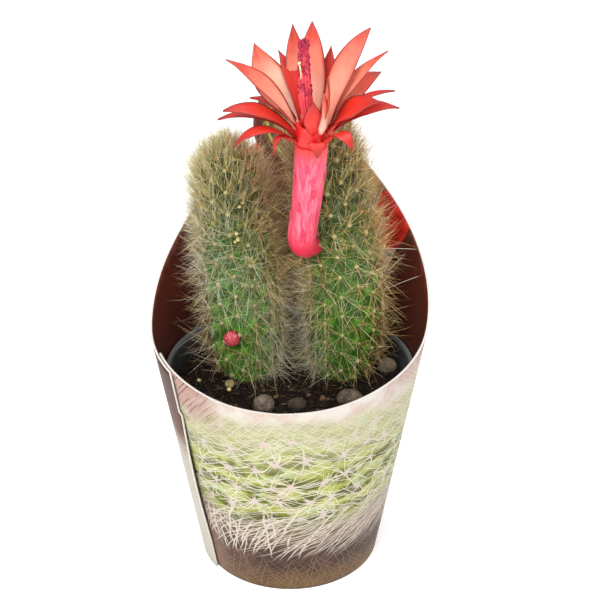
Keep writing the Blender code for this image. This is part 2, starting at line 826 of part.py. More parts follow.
def make_tube(collection, stem_cutter):
    knots = tube_knots()
    end = knots[-1][0] - GAP
    count = round(end / TUBE_ROW_STEP)
    points = []
    for row in range(count + 1):
        for column in range(TUBE_SIDES):
            points.append(tube_surface(knots, end * row / count, 2 * math.pi * column / TUBE_SIDES, 0.0))
    points.append(tube_frame(knots, 0.0)[0])
    points.append(tube_frame(knots, end)[0])
    tube = mesh_object("flower_tube", points, ring_faces(count + 1, TUBE_SIDES, True, True), collection)
    scales = []
    for index in range(TUBE_SCALES):
        length = TUBE_BARE_FOOT + (end - TUBE_BARE_FOOT - TUBE_BARE_MOUTH) * index / (TUBE_SCALES - 1)
        scales.append(tube_scale(knots, length, index * GOLDEN_ANGLE))
    fuse(tube, scales)
    cut(tube, stem_cutter)
    settle(tube)
    finish_part(tube)
    return tube


def mouth_matrix():
    return MOUTH_AXIS.to_track_quat("Z", "Y").to_matrix()


def level_direction(azimuth):
    angle = math.radians(azimuth)
    return Vector((math.sin(angle), -math.cos(angle), 0.0))


def tepal_spine(root_height, arch, azimuth, rise, length):
    """The middle line of a tepal, as a function of the share of its length."""
    outward = level_direction(azimuth)
    climb = math.radians(rise)
    throat = MOUTH + MOUTH_AXIS * THROAT_HEIGHT
    tip = throat + (outward * math.cos(climb) + UP * math.sin(climb)) * length
    across = (outward - MOUTH_AXIS * outward.dot(MOUTH_AXIS)).normalized()
    root = MOUTH + MOUTH_AXIS * root_height + across * TEPAL_ROOT_RADIUS
    lifted = UP * math.cos(climb) - outward * math.sin(climb)
    middle = root.lerp(tip, 0.5) + lifted * arch * 2.0

    def spine(share):
        return root.lerp(middle, share).lerp(middle.lerp(tip, share), share)

    return spine


def tepal_width(share):
    """A narrow foot, the broadest place past the middle, and a pointed end."""
    swell = math.sin(math.pi * min(share / 1.16, 1.0))
    return (TEPAL_FOOT_WIDTH + (1.0 - TEPAL_FOOT_WIDTH) * swell) * (1.0 - share**8)


def tepal(root_height, arch, azimuth, rise, length, width, roll):
    """One blade: six points round each station, and a point at the tip."""
    spine = tepal_spine(root_height, arch, azimuth, rise, length)
    outward = level_direction(azimuth)
    level_side = UP.cross(outward)
    turn = math.radians(math.copysign(roll, azimuth))
    points = []
    for share in TEPAL_STATIONS:
        along = (spine(share + 0.02) - spine(share - 0.02)).normalized()
        level_face = along.cross(level_side).normalized()
        side = level_side * math.cos(turn * share) + level_face * math.sin(turn * share)
        face = along.cross(side).normalized()
        half = width * tepal_width(share) / 2
        inner = half * TEPAL_FLAT_SHARE
        trough = face * width * TEPAL_CAMBER * (1.0 - share)
        thick = face * TEPAL_THICKNESS / 2
        middle = spine(share)
        points += [
            middle + side * half,
            middle + side * inner - trough + thick,
            middle - side * inner - trough + thick,
            middle - side * half,
            middle - side * inner - trough - thick,
            middle + side * inner - trough - thick,
        ]
    points.append(spine(0.0))
    points.append(spine(1.0))
    faces = ring_faces(len(TEPAL_STATIONS), 6, True, True)
    blade = loose_object(points, faces)
    face_outwards(blade)
    return blade


def face_outwards(obj):
    shape = bmesh.new()
    shape.from_mesh(obj.data)
    bmesh.ops.recalc_face_normals(shape, faces=shape.faces)
    if shape.calc_volume(signed=True) < 0:
        bmesh.ops.reverse_faces(shape, faces=shape.faces)
    shape.to_mesh(obj.data)
    shape.free()


def make_tepals(collection):
    """A short ring at the tube's mouth, with every whorl of tepals fused to it."""
    profile = [
        (TEPAL_RING_INNER, 0.0),
        (TEPAL_RING_INNER, THROAT_HEIGHT),
        (TEPAL_RING_OUTER, THROAT_HEIGHT),
        (TEPAL_RING_OUTER, 0.0),
        (TEPAL_RING_INNER, 0.0),
    ]
    ring = turned("flower_tepals", profile, TEPAL_RING_SIDES, collection)
    settle(ring)
    weld(ring)
    turn = mouth_matrix().to_4x4()
    ring.data.transform(Matrix.Translation(MOUTH * MM) @ turn)
    blades = []
    for root_height, arch, tepals in WHORLS:
        for azimuth, rise, length, width, roll in tepals:
            blades.append(tepal(root_height, arch, azimuth, rise, length, width, roll))
    fuse(ring, blades)
    finish_part(ring)
    return ring


def weld(obj):
    shape = bmesh.new()
    shape.from_mesh(obj.data)
    bmesh.ops.remove_doubles(shape, verts=shape.verts, dist=WELD)
    bmesh.ops.recalc_face_normals(shape, faces=shape.faces)
    shape.to_mesh(obj.data)
    shape.free()


def anther(centre, radius):
    """A small eight-sided grain."""
    corners = [centre + Vector(step) * radius for step in ((1, 0, 0), (0, 1, 0), (-1, 0, 0), (0, -1, 0))]
    corners += [centre + UP * radius * ANTHER_LENGTHENING, centre - UP * radius * ANTHER_LENGTHENING]
    faces = [(index, (index + 1) % 4, 4) for index in range(4)]
    faces += [((index + 1) % 4, index, 5) for index in range(4)]
    return loose_object(corners, faces)


def stamen_frame(share):
    """The middle and two sideways axes at a share of the way up the bundle."""
    knots = [(index / (len(STAMEN_PATH) - 1), Vector(point)) for index, point in enumerate(STAMEN_PATH)]
    middle = spline_value(knots, share)
    ahead, behind = min(share + 0.02, 1.0), max(share - 0.02, 0.0)
    along = (spline_value(knots, ahead) - spline_value(knots, behind)).normalized()
    side = (Vector((1, 0, 0)) - along * along.x).normalized()
    return middle, along, side, along.cross(side)


def stamen_point(share, angle, reach):
    middle, _, side, back = stamen_frame(share)
    return middle + (side * math.cos(angle) + back * math.sin(angle)) * reach


def stamen_radius(share):
    radius = STAMEN_FOOT_RADIUS + (STAMEN_TOP_RADIUS - STAMEN_FOOT_RADIUS) * share
    return radius * (1.0 - smooth_step((share - STAMEN_TAPER_START) / (1.0 - STAMEN_TAPER_START)) / 2)


def make_stamens(collection):
    draw = random.Random(f"stamens {SEED}")
    points = []
    for row in range(STAMEN_ROWS):
        share = row / (STAMEN_ROWS - 1)
        for column in range(STAMEN_COLUMN_SIDES):
            angle = 2 * math.pi * column / STAMEN_COLUMN_SIDES
            points.append(stamen_point(share, angle, stamen_radius(share)))
    points.append(stamen_frame(0.0)[0])
    points.append(stamen_frame(1.0)[0])
    faces = ring_faces(STAMEN_ROWS, STAMEN_COLUMN_SIDES, True, True)
    bundle = mesh_object("flower_stamens", points, faces, collection)
    face_outwards(bundle)
    grains = []
    for index in range(ANTHERS):
        share = ANTHER_LOWEST + (1.0 - ANTHER_LOWEST) * index / (ANTHERS - 1)
        place = stamen_point(share, index * GOLDEN_ANGLE, stamen_radius(share))
        grains.append(anther(place, ANTHER_RADIUS))
    for index in range(FILAMENTS):
        middle, along, _, _ = stamen_frame(FILAMENT_ROOT_SHARE)
        root = stamen_point(FILAMENT_ROOT_SHARE, index * GOLDEN_ANGLE, STAMEN_FOOT_RADIUS / 2)
        outward = (root - middle).normalized() * draw.uniform(*FILAMENT_SPREAD)
        grains.append(needle(root, root + (along + outward) * FILAMENT_LENGTH, FILAMENT_ROOT_RADIUS))
    top, along, _, _ = stamen_frame(1.0)
    grains.append(needle(top - along, top + along * STYLE_LENGTH, FILAMENT_ROOT_RADIUS))
    fuse(bundle, grains)
    finish_part(bundle)
    return bundle


# Bud and stones


def make_bud(collection, stem_cutter):
    """A small ball of overlapping scales, seated on the left stem's skin."""
    points = []
    for row in range(1, BUD_ROWS):
        polar = math.pi * row / BUD_ROWS
        for column in range(BUD_COLUMNS):
            angle = 2 * math.pi * column / BUD_COLUMNS
            relief = BUD_RELIEF if (row + column) % 2 == 0 else -BUD_RELIEF
            reach = BUD_RADIUS + relief * math.sin(polar)
            across = math.sin(polar)
            direction = Vector((math.cos(angle) * across, math.cos(polar), math.sin(angle) * across))
            points.append(BUD_CENTRE + direction * reach)
    points.append(BUD_CENTRE + Vector((0, BUD_RADIUS, 0)))
    points.append(BUD_CENTRE - Vector((0, BUD_RADIUS, 0)))
    bud = mesh_object("bud", points, ring_faces(BUD_ROWS - 1, BUD_COLUMNS, True, True), collection)
    face_outwards(bud)
    cut(bud, stem_cutter)
    settle(bud)
    finish_part(bud)
    return bud


def stone_mesh(name, index, spread, collection):
    x, y, *half_sizes = STONES[index]
    bpy.ops.mesh.primitive_ico_sphere_add(subdivisions=2, radius=1.0)
    obj = bpy.context.object
    obj.name = name
    obj.data.name = name
    move_to(obj, collection)
    height = soil_height(x, y) + half_sizes[2] * (1.0 - 2 * STONE_SINK)
    for vertex in obj.data.vertices:
        direction = vertex.co.normalized()
        bump = 1.0 + STONE_ROUGHNESS * noise.noise(direction * 1.6 + Vector((3.1 * index, 0, 0)))
        point = Vector([direction[axis] * (half_sizes[axis] * bump + spread) for axis in range(3)])
        vertex.co = (point + Vector((x, y, height))) * MM
    return obj


def make_stones(parts, cutters, soil):
    for index in range(len(STONES)):
        stone = stone_mesh(f"stone_{index + 1}", index, 0.0, parts)
        finish_part(stone)
        dimple = stone_mesh(f"dimple_cutter_{index + 1}", index, GAP, cutters)
        make_cutter(dimple)
        cut(soil, dimple)


def main():
    clear_scene()
    parts = new_collection("potted_monkey_tail_cactus")
    cutters = new_collection("cutters")
    left_cutter = stem_body("stem_left_cutter", STEM_LEFT, GAP, cutters)
    right_cutter = stem_body("stem_right_cutter", STEM_RIGHT, GAP, cutters)
    make_cutter(left_cutter)
    make_cutter(right_cutter)
    make_sleeve(parts)
    make_pot(parts, cutters)
    soil = make_soil(parts)
    cut(soil, left_cutter)
    cut(soil, right_cutter)
    make_stones(parts, cutters, soil)
    balls = keep_clear_balls()
    make_stem("stem_left", STEM_LEFT, STEM_RIGHT, balls, parts)
    make_stem("stem_right", STEM_RIGHT, STEM_LEFT, balls, parts)
    make_tube(parts, right_cutter)
    make_tepals(parts)
    make_stamens(parts)
    make_bud(parts, left_cutter)


main()
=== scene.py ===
"""Looks of the potted monkey tail cactus in its card sleeve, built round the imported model.

Blender 4.5 script. Shapes are worked out in millimetres in the model's own frame and become
metres in new_mesh(). +Z is up, the front faces -Y, and azimuth 0 is the front, growing towards +X.
"""

import json
import math

import bmesh
import bpy
import numpy as np
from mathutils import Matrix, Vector, noise
from mathutils.geometry import delaunay_2d_cdt

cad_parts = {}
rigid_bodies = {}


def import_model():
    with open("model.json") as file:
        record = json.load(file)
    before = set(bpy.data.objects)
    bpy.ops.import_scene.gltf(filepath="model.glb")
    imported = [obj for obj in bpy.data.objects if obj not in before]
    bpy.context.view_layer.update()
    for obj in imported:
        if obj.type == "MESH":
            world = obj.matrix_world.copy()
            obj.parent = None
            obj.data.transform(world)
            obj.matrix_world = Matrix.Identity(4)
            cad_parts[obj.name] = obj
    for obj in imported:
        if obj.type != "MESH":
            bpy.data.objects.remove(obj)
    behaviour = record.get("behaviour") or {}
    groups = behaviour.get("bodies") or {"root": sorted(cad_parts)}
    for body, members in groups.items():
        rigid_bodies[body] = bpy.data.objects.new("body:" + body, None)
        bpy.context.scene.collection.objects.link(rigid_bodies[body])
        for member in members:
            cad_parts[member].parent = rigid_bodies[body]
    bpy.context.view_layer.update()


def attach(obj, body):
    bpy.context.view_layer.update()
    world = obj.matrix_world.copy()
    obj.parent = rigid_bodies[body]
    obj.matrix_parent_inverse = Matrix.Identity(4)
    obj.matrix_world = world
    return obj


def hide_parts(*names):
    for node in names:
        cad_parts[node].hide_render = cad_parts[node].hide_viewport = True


MM = 0.001
SEED = 11
TAU = 2 * math.pi
UP = np.array((0.0, 0.0, 1.0))
ACROSS = np.array((1.0, 0.0, 0.0))
REAR = np.array((0.0, 1.0, 0.0))
GOLDEN_ANGLE = math.radians(137.5)
WHITE = (1.0, 1.0, 1.0, 1.0)

# Card sleeve, as in the model
CARD_FOOT_RADIUS = 31.8
CARD_FLARE = 0.166
CARD_THICKNESS = 0.7
CARD_UNDER_EDGE = -64.0
CARD_UNDER_DROP = 2.0
CARD_OVER_EDGE = 311.0
CARD_OVER_EDGE_TOP = 309.2
CARD_NOTCH_HEIGHT = 67.0
CARD_LAP_STEP = 1.1
CARD_LAP_FADE = 75.0
CARD_LIFT = 0.9
CARD_LIFT_FOOT = 12.0
CARD_LIFT_SPAN = 17.0
CARD_RIM = (
    (0, 79.0), (22, 80.0), (45, 82.8), (66, 86.0), (87, 90.6), (110, 101.8), (135, 117.0), (162, 134.8)
)
CARD_RIM_STEP = 1.2
CARD_GRID = 3.0
CARD_MM_PER_DEGREE = 0.7
CARD_MAP_SCALE = 100.0
HEADER_AZIMUTH = 180.0
HEADER_CENTRE_HEIGHT = 141.0
HEADER_RADIUS = 18.2
HEADER_POINTS = 90

# The sleeve's print
CARD_CELL = (18.6, 16.4)
CARD_ROW_PITCH = CARD_CELL[1] / 2
CARD_RAYS = 16
CARD_STARS = ((0.0, 0.0), (0.5, 0.0), (0.25, 0.5), (0.75, 0.5))
CARD_TONE = (199, 196, 191)
# Layers of hanging strokes low in the print: pitch, lean and the heights between which they start
CARD_CURTAIN = (
    (1.5, 0.0, (27.0, 44.0)),
    (1.9, 0.4, (26.0, 40.0)),
    (1.7, -0.5, (26.0, 42.0)),
    (2.3, 1.0, (30.0, 46.0)),
    (1.6, -0.15, (24.0, 34.0)),
    (1.7, 0.7, (24.0, 36.0)),
)
CARD_CURTAIN_ENDS = (13.0, 27.0)
# Layers of faint hairs at the foot: pitch and lean
CARD_FOOT_HAIRS = ((2.1, 1.2), (2.6, -1.4), (2.9, 0.3), (3.3, -0.5), (3.9, 2.4))
# Layers of loose strokes: direction, pitch, length and the share that is drawn
CARD_DASHES = (
    (78.0, 1.4, 16.0, 0.6),
    (104.0, 1.6, 18.0, 0.6),
    (66.0, 2.0, 15.0, 0.5),
    (116.0, 2.2, 14.0, 0.45),
    (50.0, 3.0, 12.0, 0.35),
    (-50.0, 3.2, 12.0, 0.35),
)
# Red shapes on the inner face: azimuth, height, half width, half height and whether it has a stalk
MOTIFS = ((137.5, 111.5, 7.2, 10.5, 1.0), (201.0, 131.5, 3.2, 3.6, 0.0))

# Plant pot, as in the model
POT_HEIGHT = 73.2
POT_FOOT_RADIUS = 30.3
POT_WALL = 0.9
POT_FLOOR = 1.2
POT_LIP_RADIUS = 42.85
POT_LIP_FOOT_RADIUS = 42.0
POT_LIP_DEPTH = 5.2
POT_NECK_RADIUS = 40.9
POT_LIP_WIDTH = 1.5
POT_EDGE_ROUND = 0.5
POT_SIDES = 144
DRAIN_COUNT = 6
DRAIN_RADIUS = 3.2
DRAIN_RING_RADIUS = 20.0
DRAIN_SIDES = 24

# Soil
SOIL_EDGE_HEIGHT = 66.0
SOIL_MIDDLE_HEIGHT = 64.6
SOIL_CELL = 0.55
SOIL_SIDES = 300
CRUMB_COUNT = 1500
FIBRE_COUNT = 760
GAP = 0.3

# Stems, as in the model: x, y, z and radius
STEM_LEFT = (
    (-15.5, 8.8, 50.0, 6.4),
    (-15.6, 8.8, 64.0, 9.2),
    (-16.2, 8.8, 74.0, 11.2),
    (-17.1, 8.8, 92.0, 11.9),
    (-18.7, 8.7, 115.0, 11.2),
    (-20.0, 8.5, 132.0, 9.9),
    (-20.9, 8.4, 147.0, 8.2),
)
STEM_RIGHT = (
    (17.3, 11.2, 50.0, 6.4),
    (17.4, 11.2, 64.0, 9.2),
    (17.8, 11.2, 74.0, 11.2),
    (17.8, 11.1, 92.0, 12.0),
    (16.3, 11.0, 111.0, 11.8),
    (13.3, 10.8, 129.0, 10.9),
    (10.7, 10.5, 143.0, 9.8),
    (9.2, 10.3, 155.5, 8.4),
)
RIBS = 14
RIB_RELIEF = 0.5
AREOLE_PITCH = 7.2
AREOLE_RELIEF = 0.5
FOOT_DEPTH = 15.0
FOOT_POINT = 2.0
RELIEF_RISE = 6.0
TIP_CALM = 0.7
DOME_ROWS = 4
AREOLE_PROUD = 0.3
STEM_COLUMNS = 8 * RIBS
STEM_ROW_STEP = 0.9
STEM_DOME_ROWS = 14
# Which way a stem's outer side faces, and its random seeds
OUTWARDS = {"left": -1.0, "right": 1.0}
AREOLE_SEEDS = {"left": SEED + 5, "right": SEED + 6}
BRISTLE_SEEDS = {"left": SEED + 21, "right": SEED + 22}
# Flesh colours low down, half way up and at the tip
STEM_COLOURS = {
    "left": ((92, 164, 38), (60, 122, 26), (60, 72, 16)),
    "right": ((78, 142, 34), (54, 108, 24), (48, 54, 16)),
}
AREOLE_TINTS = (("cream", (202, 194, 140)), ("straw", (180, 168, 106)), ("orange", (198, 142, 90)))

# Bristle colours: name, root and tip
BRISTLE_TINTS = (
    ("white", (216, 206, 178), (240, 234, 212)),
    ("mint", (198, 208, 158), (228, 234, 196)),
    ("cream", (204, 186, 122), (236, 220, 166)),
    ("straw", (188, 172, 72), (228, 208, 110)),
    ("gold", (210, 160, 92), (238, 196, 126)),
    ("tan", (172, 128, 88), (218, 172, 128)),
)
# How much of each colour there is low down, half way up and at the top, on three sides of a stem
INNER_SHARES = ((9, 1, 5, 0, 0, 0), (0, 1, 4, 1, 3, 2), (1, 0, 3, 0, 2, 5))
BRISTLE_SHARES = {
    "left": {
        "front": ((0, 3, 4, 3, 0, 0), (4, 5, 1, 0, 0, 0), (1, 1, 5, 3, 0, 1)),
        "outer": ((2, 0, 4, 1, 0, 3), (6, 1, 3, 0, 0, 1), (2, 0, 6, 2, 0, 0)),
        "inner": INNER_SHARES,
    },
    "right": {
        "front": ((0, 2, 4, 3, 1, 0), (0, 3, 3, 3, 1, 0), (0, 1, 2, 7, 0, 0)),
        "outer": ((0, 0, 3, 1, 5, 1), (1, 0, 3, 0, 6, 1), (1, 0, 4, 1, 5, 0)),
        "inner": INNER_SHARES,
    },
}
SHARE_HEIGHTS = (0.15, 0.5, 0.85)
# Hairs of an areole's fur and of its veil, at the top and half way up
FUR = {"left": (26, 20), "right": (17, 10)}
VEIL = {"left": (26, 16), "right": (18, 8)}
BRISTLE_CUTS = (-1.0, 0.36, 0.66, 2.0)
BRISTLE_STATIONS = 3
BRISTLE_TAPER = 0.55
SHORTEST_BRISTLE = 1.2
# A bristle that would touch something is shortened by this share, at most so many times
SHORTENING = 0.78
SHORTENINGS = 7
# Where along a bristle it is tried, and how far it keeps off things: off the lip upwards and
# inwards, off the card inwards, above its rim and round its header
TRIED_SHARES = (0.35, 0.6, 0.8, 1.0)
STEM_MARGIN = 0.4
SOIL_MARGIN = 0.8
LIP_MARGINS = (0.6, 1.0)
CARD_MARGINS = (0.8, 1.5, 1.0)
BALL_MARGIN = 0.25
WIDEST = 46.6
# Long spines at the right: root and tip
WHISKERS = (
    ((27.6, 9.8, 112.3), (43.6, 13.0, 111.6)),
    ((28.8, 12.0, 94.5), (44.6, 15.0, 101.5)),
)
WHISKER_RADIUS = 0.085
WHISKER_SAG = 0.04

# Flower, as in the model
TUBE_PATH = (
    (9.0, 3.4, 116.4, 3.2),
    (6.2, -0.2, 116.9, 3.9),
    (4.7, -3.4, 119.2, 4.5),
    (4.6, -5.2, 124.0, 4.6),
    (5.8, -7.0, 132.0, 4.6),
    (7.0, -9.0, 144.0, 4.9),
    (7.9, -10.8, 155.3, 5.1),
)
TUBE_SIDES = 72
TUBE_SCALES = 16
TUBE_SCALE_LENGTH = 3.4
TUBE_SCALE_WIDTH = 1.6
TUBE_BARE_FOOT = 11.0
TUBE_BARE_MOUTH = 8.0
MOUTH = np.array((7.9, -10.8, 155.3))
MOUTH_AXIS = np.array((0.04, -0.17, 0.98)) / np.linalg.norm((0.04, -0.17, 0.98))
# The throat ring's outline: radius and height
THROAT = ((5.15, 0.0), (5.3, 1.5), (5.2, 4.0), (4.9, 6.0), (4.4, 6.6), (3.7, 6.4), (3.2, 4.0), (3.0, 0.4))
THROAT_HEIGHT = 6.5
THROAT_SIDES = 64
TEPAL_ROOT_RADIUS = 4.2
TEPAL_THICKNESS = 0.55
TEPAL_CAMBER = 0.14
TEPAL_FOOT_WIDTH = 0.42
TEPAL_WIDENED = 1.16
TEPAL_TWIST = 1.7
TEPAL_STATIONS = 26
TEPAL_ACROSS = 11
# Tepal colours: the least creaminess for it, name, foot, middle and tip
TEPAL_COLOURS = (
    (0.7, "creamy", (252, 212, 188), (242, 164, 138), (216, 80, 58)),
    (0.22, "salmon", (238, 168, 144), (220, 122, 100), (200, 58, 42)),
    (-1.0, "red", (210, 48, 36), (202, 42, 29), (174, 30, 20)),
)
# Each whorl: height of its roots, arch, and its tepals as azimuth, rise, length, width, roll, creaminess
WHORLS = (
    (5.6, -1.5, (
        (-175, 65, 31.0, 7.6, 0, 0.55),
        (-152, 61, 31.0, 7.0, 0, 0.3),
        (-114, 48, 30.0, 9.2, 42, 1.0),
        (164, 51, 26.0, 5.4, 0, 0.2),
        (44, 66, 17.0, 3.2, 55, 0.5),
        (36, 60, 12.5, 4.6, -30, 1.0),
        (6, 58, 10.0, 5.2, 0, 0.0),
    )),
    (4.0, 3.0, (
        (108, 58, 33.0, 7.6, 40, 0.6),
        (-92, 36, 32.0, 6.0, 26, 0.35),
        (-140, 46, 26.0, 5.6, 0, 0.2),
        (112, 33, 26.0, 7.6, 32, 0.25),
        (100, 44, 31.0, 4.4, 30, 0.3),
        (172, 34, 27.0, 6.0, 0, 0.2),
        (76, 23, 22.5, 7.6, 33, 0.15),
        (-104, 17, 21.0, 5.2, 10, 0.1),
    )),
    (2.4, 4.0, (
        (-76, 11, 27.5, 6.2, 25, 0.0),
        (-84, 3, 28.5, 4.4, 15, 0.0),
        (96, 22, 26.5, 3.6, 15, 0.2),
        (93, 11, 26.5, 6.0, 25, 0.1),
        (-130, 22, 27.0, 5.4, 0, 0.0),
        (140, 24, 26.0, 5.4, 0, 0.0),
        (-165, 26, 26.0, 5.4, 0, 0.0),
    )),
    (1.0, 5.0, (
        (-62, -9, 26.0, 4.6, 10, 0.0),
        (48, -15, 17.5, 4.4, 12, 0.0),
        (12, -38, 12.5, 5.0, 0, 0.0),
        (-58, -32, 15.0, 3.4, 0, 0.0),
        (160, 12, 20.0, 4.6, 0, 0.0),
    )),
)
STAMEN_PATH = ((8.2, -11.0, 156.0), (6.8, -11.8, 164.0), (5.8, -11.6, 173.0), (5.4, -10.9, 187.0))
STAMEN_COUNT = 250
STAMEN_START = 0.1
FILAMENT_RADIUS = 0.13
ANTHER_SIZE = np.array((0.42, 0.42, 0.6))
STYLE_RADIUS = 0.24
STIGMA_LOBES = 6
BUD_CENTRE = np.array((-19.3, -4.6, 83.6))
BUD_RADIUS = 2.7
BUD_GRID = (60, 96)
BUD_RINGS = 6.0
BUD_TEETH = 8

# Stones: x, y, the three half sizes and the colour
STONES = (
    (-7.1, -18.0, (3.6, 3.3, 3.5), (128, 112, 96)),
    (21.3, -11.5, (4.4, 3.3, 3.0), (112, 96, 80)),
    (33.4, 10.3, (3.5, 3.2, 2.8), (120, 104, 90)),
    (4.0, -16.6, (3.2, 2.6, 2.3), (74, 62, 52)),
    (-20.6, -4.4, (1.7, 1.5, 1.5), (204, 184, 122)),
    (-23.5, -19.0, (2.2, 1.9, 1.6), (96, 92, 62)),
)
STONE_SINK = 0.3
# Pale grains: x, y, z (None for on the soil) and size
GRAINS = (
    (-17.0, -3.3, 121.5, 0.6),
    (-16.6, -3.4, 119.6, 0.75),
    (-17.6, -3.3, 118.6, 0.5),
    (-16.0, -2.2, 130.5, 0.6),
    (-31.5, -3.2, None, 0.9),
    (-20.4, -7.6, None, 0.8),
    (-35.8, -7.0, None, 0.6),
)

# Area lights: name, place, size and power. They face the middle of the plant.
LIGHTS = (
    ("key", (-0.4, -0.75, 0.85), 0.7, 9.0),
    ("fill", (0.5, -0.85, 0.5), 0.9, 4.0),
    ("top", (0.1, 0.1, 1.2), 0.8, 6.0),
)
LIT_POINT = (0.0, 0.0, 0.09)
BACKGROUND_STRENGTH = 0.62
FLOOR_SIZE = 8.0
FLOOR_HEIGHT = -0.0002
CAMERA_PLACE = (0.0308, -0.3402, 0.2632)
CAMERA_TURN = (64.0, 0.0, 4.6)
CAMERA_SENSOR = 36.0
CAMERA_LENS = 67.8
CAMERA_NEAR = 0.01


# Small tools


def smooth_step(value):
    value = np.clip(value, 0.0, 1.0)
    return value * value * (3.0 - 2.0 * value)


def unit(vectors):
    return vectors / np.maximum(np.linalg.norm(vectors, axis=-1, keepdims=True), 1e-9)


def turns(sides):
    """Evenly spaced angles of a full turn."""
    return TAU * np.arange(sides) / sides


def grid(rows, columns):
    """The row value and the column value at each place of a grid, row by row."""
    return np.repeat(rows, len(columns)), np.tile(columns, len(rows))


def wrapped_map(angle, share):
    """A map of turn and share for a lofted skin, with its two poles."""
    return np.concatenate([np.stack((angle / TAU, share), 1), [(0.0, 0.0), (0.0, 1.0)]])


def around(side, back, angles):
    """Directions at some angles round each axis, from the axis's two sideways directions."""
    return side[:, None] * np.cos(angles)[None, :, None] + back[:, None] * np.sin(angles)[None, :, None]


def level_ring(radius, height, angles):
    """Points of a level ring round the model's axis."""
    return np.stack((radius * np.cos(angles), radius * np.sin(angles), np.full(len(angles), height)), 1)


def spline(knots, positions):
    """A Catmull-Rom curve through (position, values) knots, at an array of positions."""
    places = np.array([knot[0] for knot in knots], float)
    values = np.array([np.atleast_1d(knot[1]) for knot in knots], float)
    positions = np.atleast_1d(np.asarray(positions, float))
    index = np.clip(np.searchsorted(places, positions, side="left") - 1, 0, len(places) - 2)
    before, after = values[index], values[index + 1]
    span = places[index + 1] - places[index]
    share = ((positions - places[index]) / span)[:, None]
    lower, upper = np.maximum(index - 1, 0), np.minimum(index + 2, len(places) - 1)
    slope_in = (after - values[lower]) * (span / (places[index + 1] - places[lower]))[:, None]
    slope_out = (values[upper] - before) * (span / (places[upper] - places[index]))[:, None]
    square, cube = share**2, share**3
    return (
        before * (2 * cube - 3 * square + 1)
        + slope_in * (cube - 2 * square + share)
        + after * (3 * square - 2 * cube)
        + slope_out * (cube - square)
    )


def new_mesh(name, points, faces, materials, uv=None, groups=None):
    """A piece of the plant from points in millimetres and triangles, riding on the model."""
    points = np.asarray(points, float) * MM
    faces = np.asarray(faces, np.int32)
    mesh = bpy.data.meshes.new(name)
    mesh.vertices.add(len(points))
    mesh.vertices.foreach_set("co", points.astype(np.float32).ravel())
    mesh.loops.add(faces.size)
    mesh.loops.foreach_set("vertex_index", faces.ravel())
    mesh.polygons.add(len(faces))
    mesh.polygons.foreach_set("loop_start", np.arange(0, faces.size, 3, dtype=np.int32))
    mesh.polygons.foreach_set("use_smooth", np.full(len(faces), True))
    if groups is not None:
        mesh.polygons.foreach_set("material_index", np.asarray(groups, np.int32))
    if uv is not None:
        layer = mesh.uv_layers.new(name="UVMap")
        layer.data.foreach_set("uv", np.asarray(uv, np.float32)[faces.ravel()].ravel())
    mesh.update(calc_edges=True)
    for material in materials:
        mesh.materials.append(material)
    obj = bpy.data.objects.new(name, mesh)
    bpy.context.scene.collection.objects.link(obj)
    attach(obj, "root")
    return obj


def ring_faces(rows, columns, cap_start=True, cap_end=True):
    """Triangles of a lofted tube whose points run row by row, then the pole of each capped end."""
    row, column = grid(np.arange(rows - 1), np.arange(columns))
    here, beside = row * columns + column, row * columns + (column + 1) % columns
    faces = [
        np.stack((here, beside, beside + columns), 1),
        np.stack((here, beside + columns, here + columns), 1),
    ]
    turn = np.arange(columns)
    ahead = (turn + 1) % columns
    pole, top = rows * columns, (rows - 1) * columns
    if cap_start:
        faces.append(np.stack((np.full(columns, pole), ahead, turn), 1))
    if cap_end:
        faces.append(np.stack((np.full(columns, pole + int(cap_start)), top + turn, top + ahead), 1))
    return np.concatenate(faces)


def join(parts):
    """Joins (points, faces) pairs into one pair."""
    starts = np.cumsum([0] + [len(points) for points, _ in parts[:-1]])
    faces = [np.asarray(faces) + start for (_, faces), start in zip(parts, starts)]
    return np.concatenate([points for points, _ in parts]), np.concatenate(faces)


def ball(subdivisions):
    """Points and faces of a unit icosphere."""
    shape = bmesh.new()
    bmesh.ops.create_icosphere(shape, subdivisions=subdivisions, radius=1.0)
    shape.verts.index_update()
    points = np.array([vertex.co for vertex in shape.verts])
    faces = np.array([[vertex.index for vertex in face.verts] for face in shape.faces])
    shape.free()
    return points, faces


def noise_at(points, span, offset=0.0):
    """Smooth noise between about -1 and 1 at each point."""
    shift = Vector((offset, -offset, 2.0 * offset))
    return np.array([noise.noise(Vector(point) / span + shift) for point in points])


def lump(shape, half, place, *layers):
    """A unit ball's points at a size and a place, roughened by layers of strength, span and offset."""
    rough = 1.0
    for strength, span, offset in layers:
        rough = rough + strength * noise_at(shape, span, offset)
    return shape * rough[:, None] * half + place


def tubes(roots, directions, lengths, radii, bends, stations, taper=0.8):
    """Thin curved three-sided tubes that taper, as points, triangles and the shares along one of them.

    A bend is where the tip ends up off the straight line.
    """
    sides = 3
    side = unit(np.cross(directions, np.where(np.abs(directions[:, 2:3]) < 0.9, UP, ACROSS)))
    outward = around(side, np.cross(directions, side), turns(sides))
    shares = np.linspace(0.0, 1.0, stations + 1)[:-1]
    rows = []
    for share in shares:
        middle = roots + directions * (lengths * share)[:, None] + bends * share**2
        rows.append(middle[:, None] + outward * (radii * (1.0 - taper * share))[:, None, None])
    tips = roots + directions * lengths[:, None] + bends
    points = np.concatenate([*rows, tips[:, None]], axis=1).reshape(-1, 3)
    faces = np.concatenate([ring_faces(stations, sides, False, True), [(0, 2, 1)]])
    starts = np.arange(len(roots)) * (stations * sides + 1)
    faces = (faces[None] + starts[:, None, None]).reshape(-1, 3)
    return points, faces, np.concatenate([np.repeat(shares, sides), [1.0]])


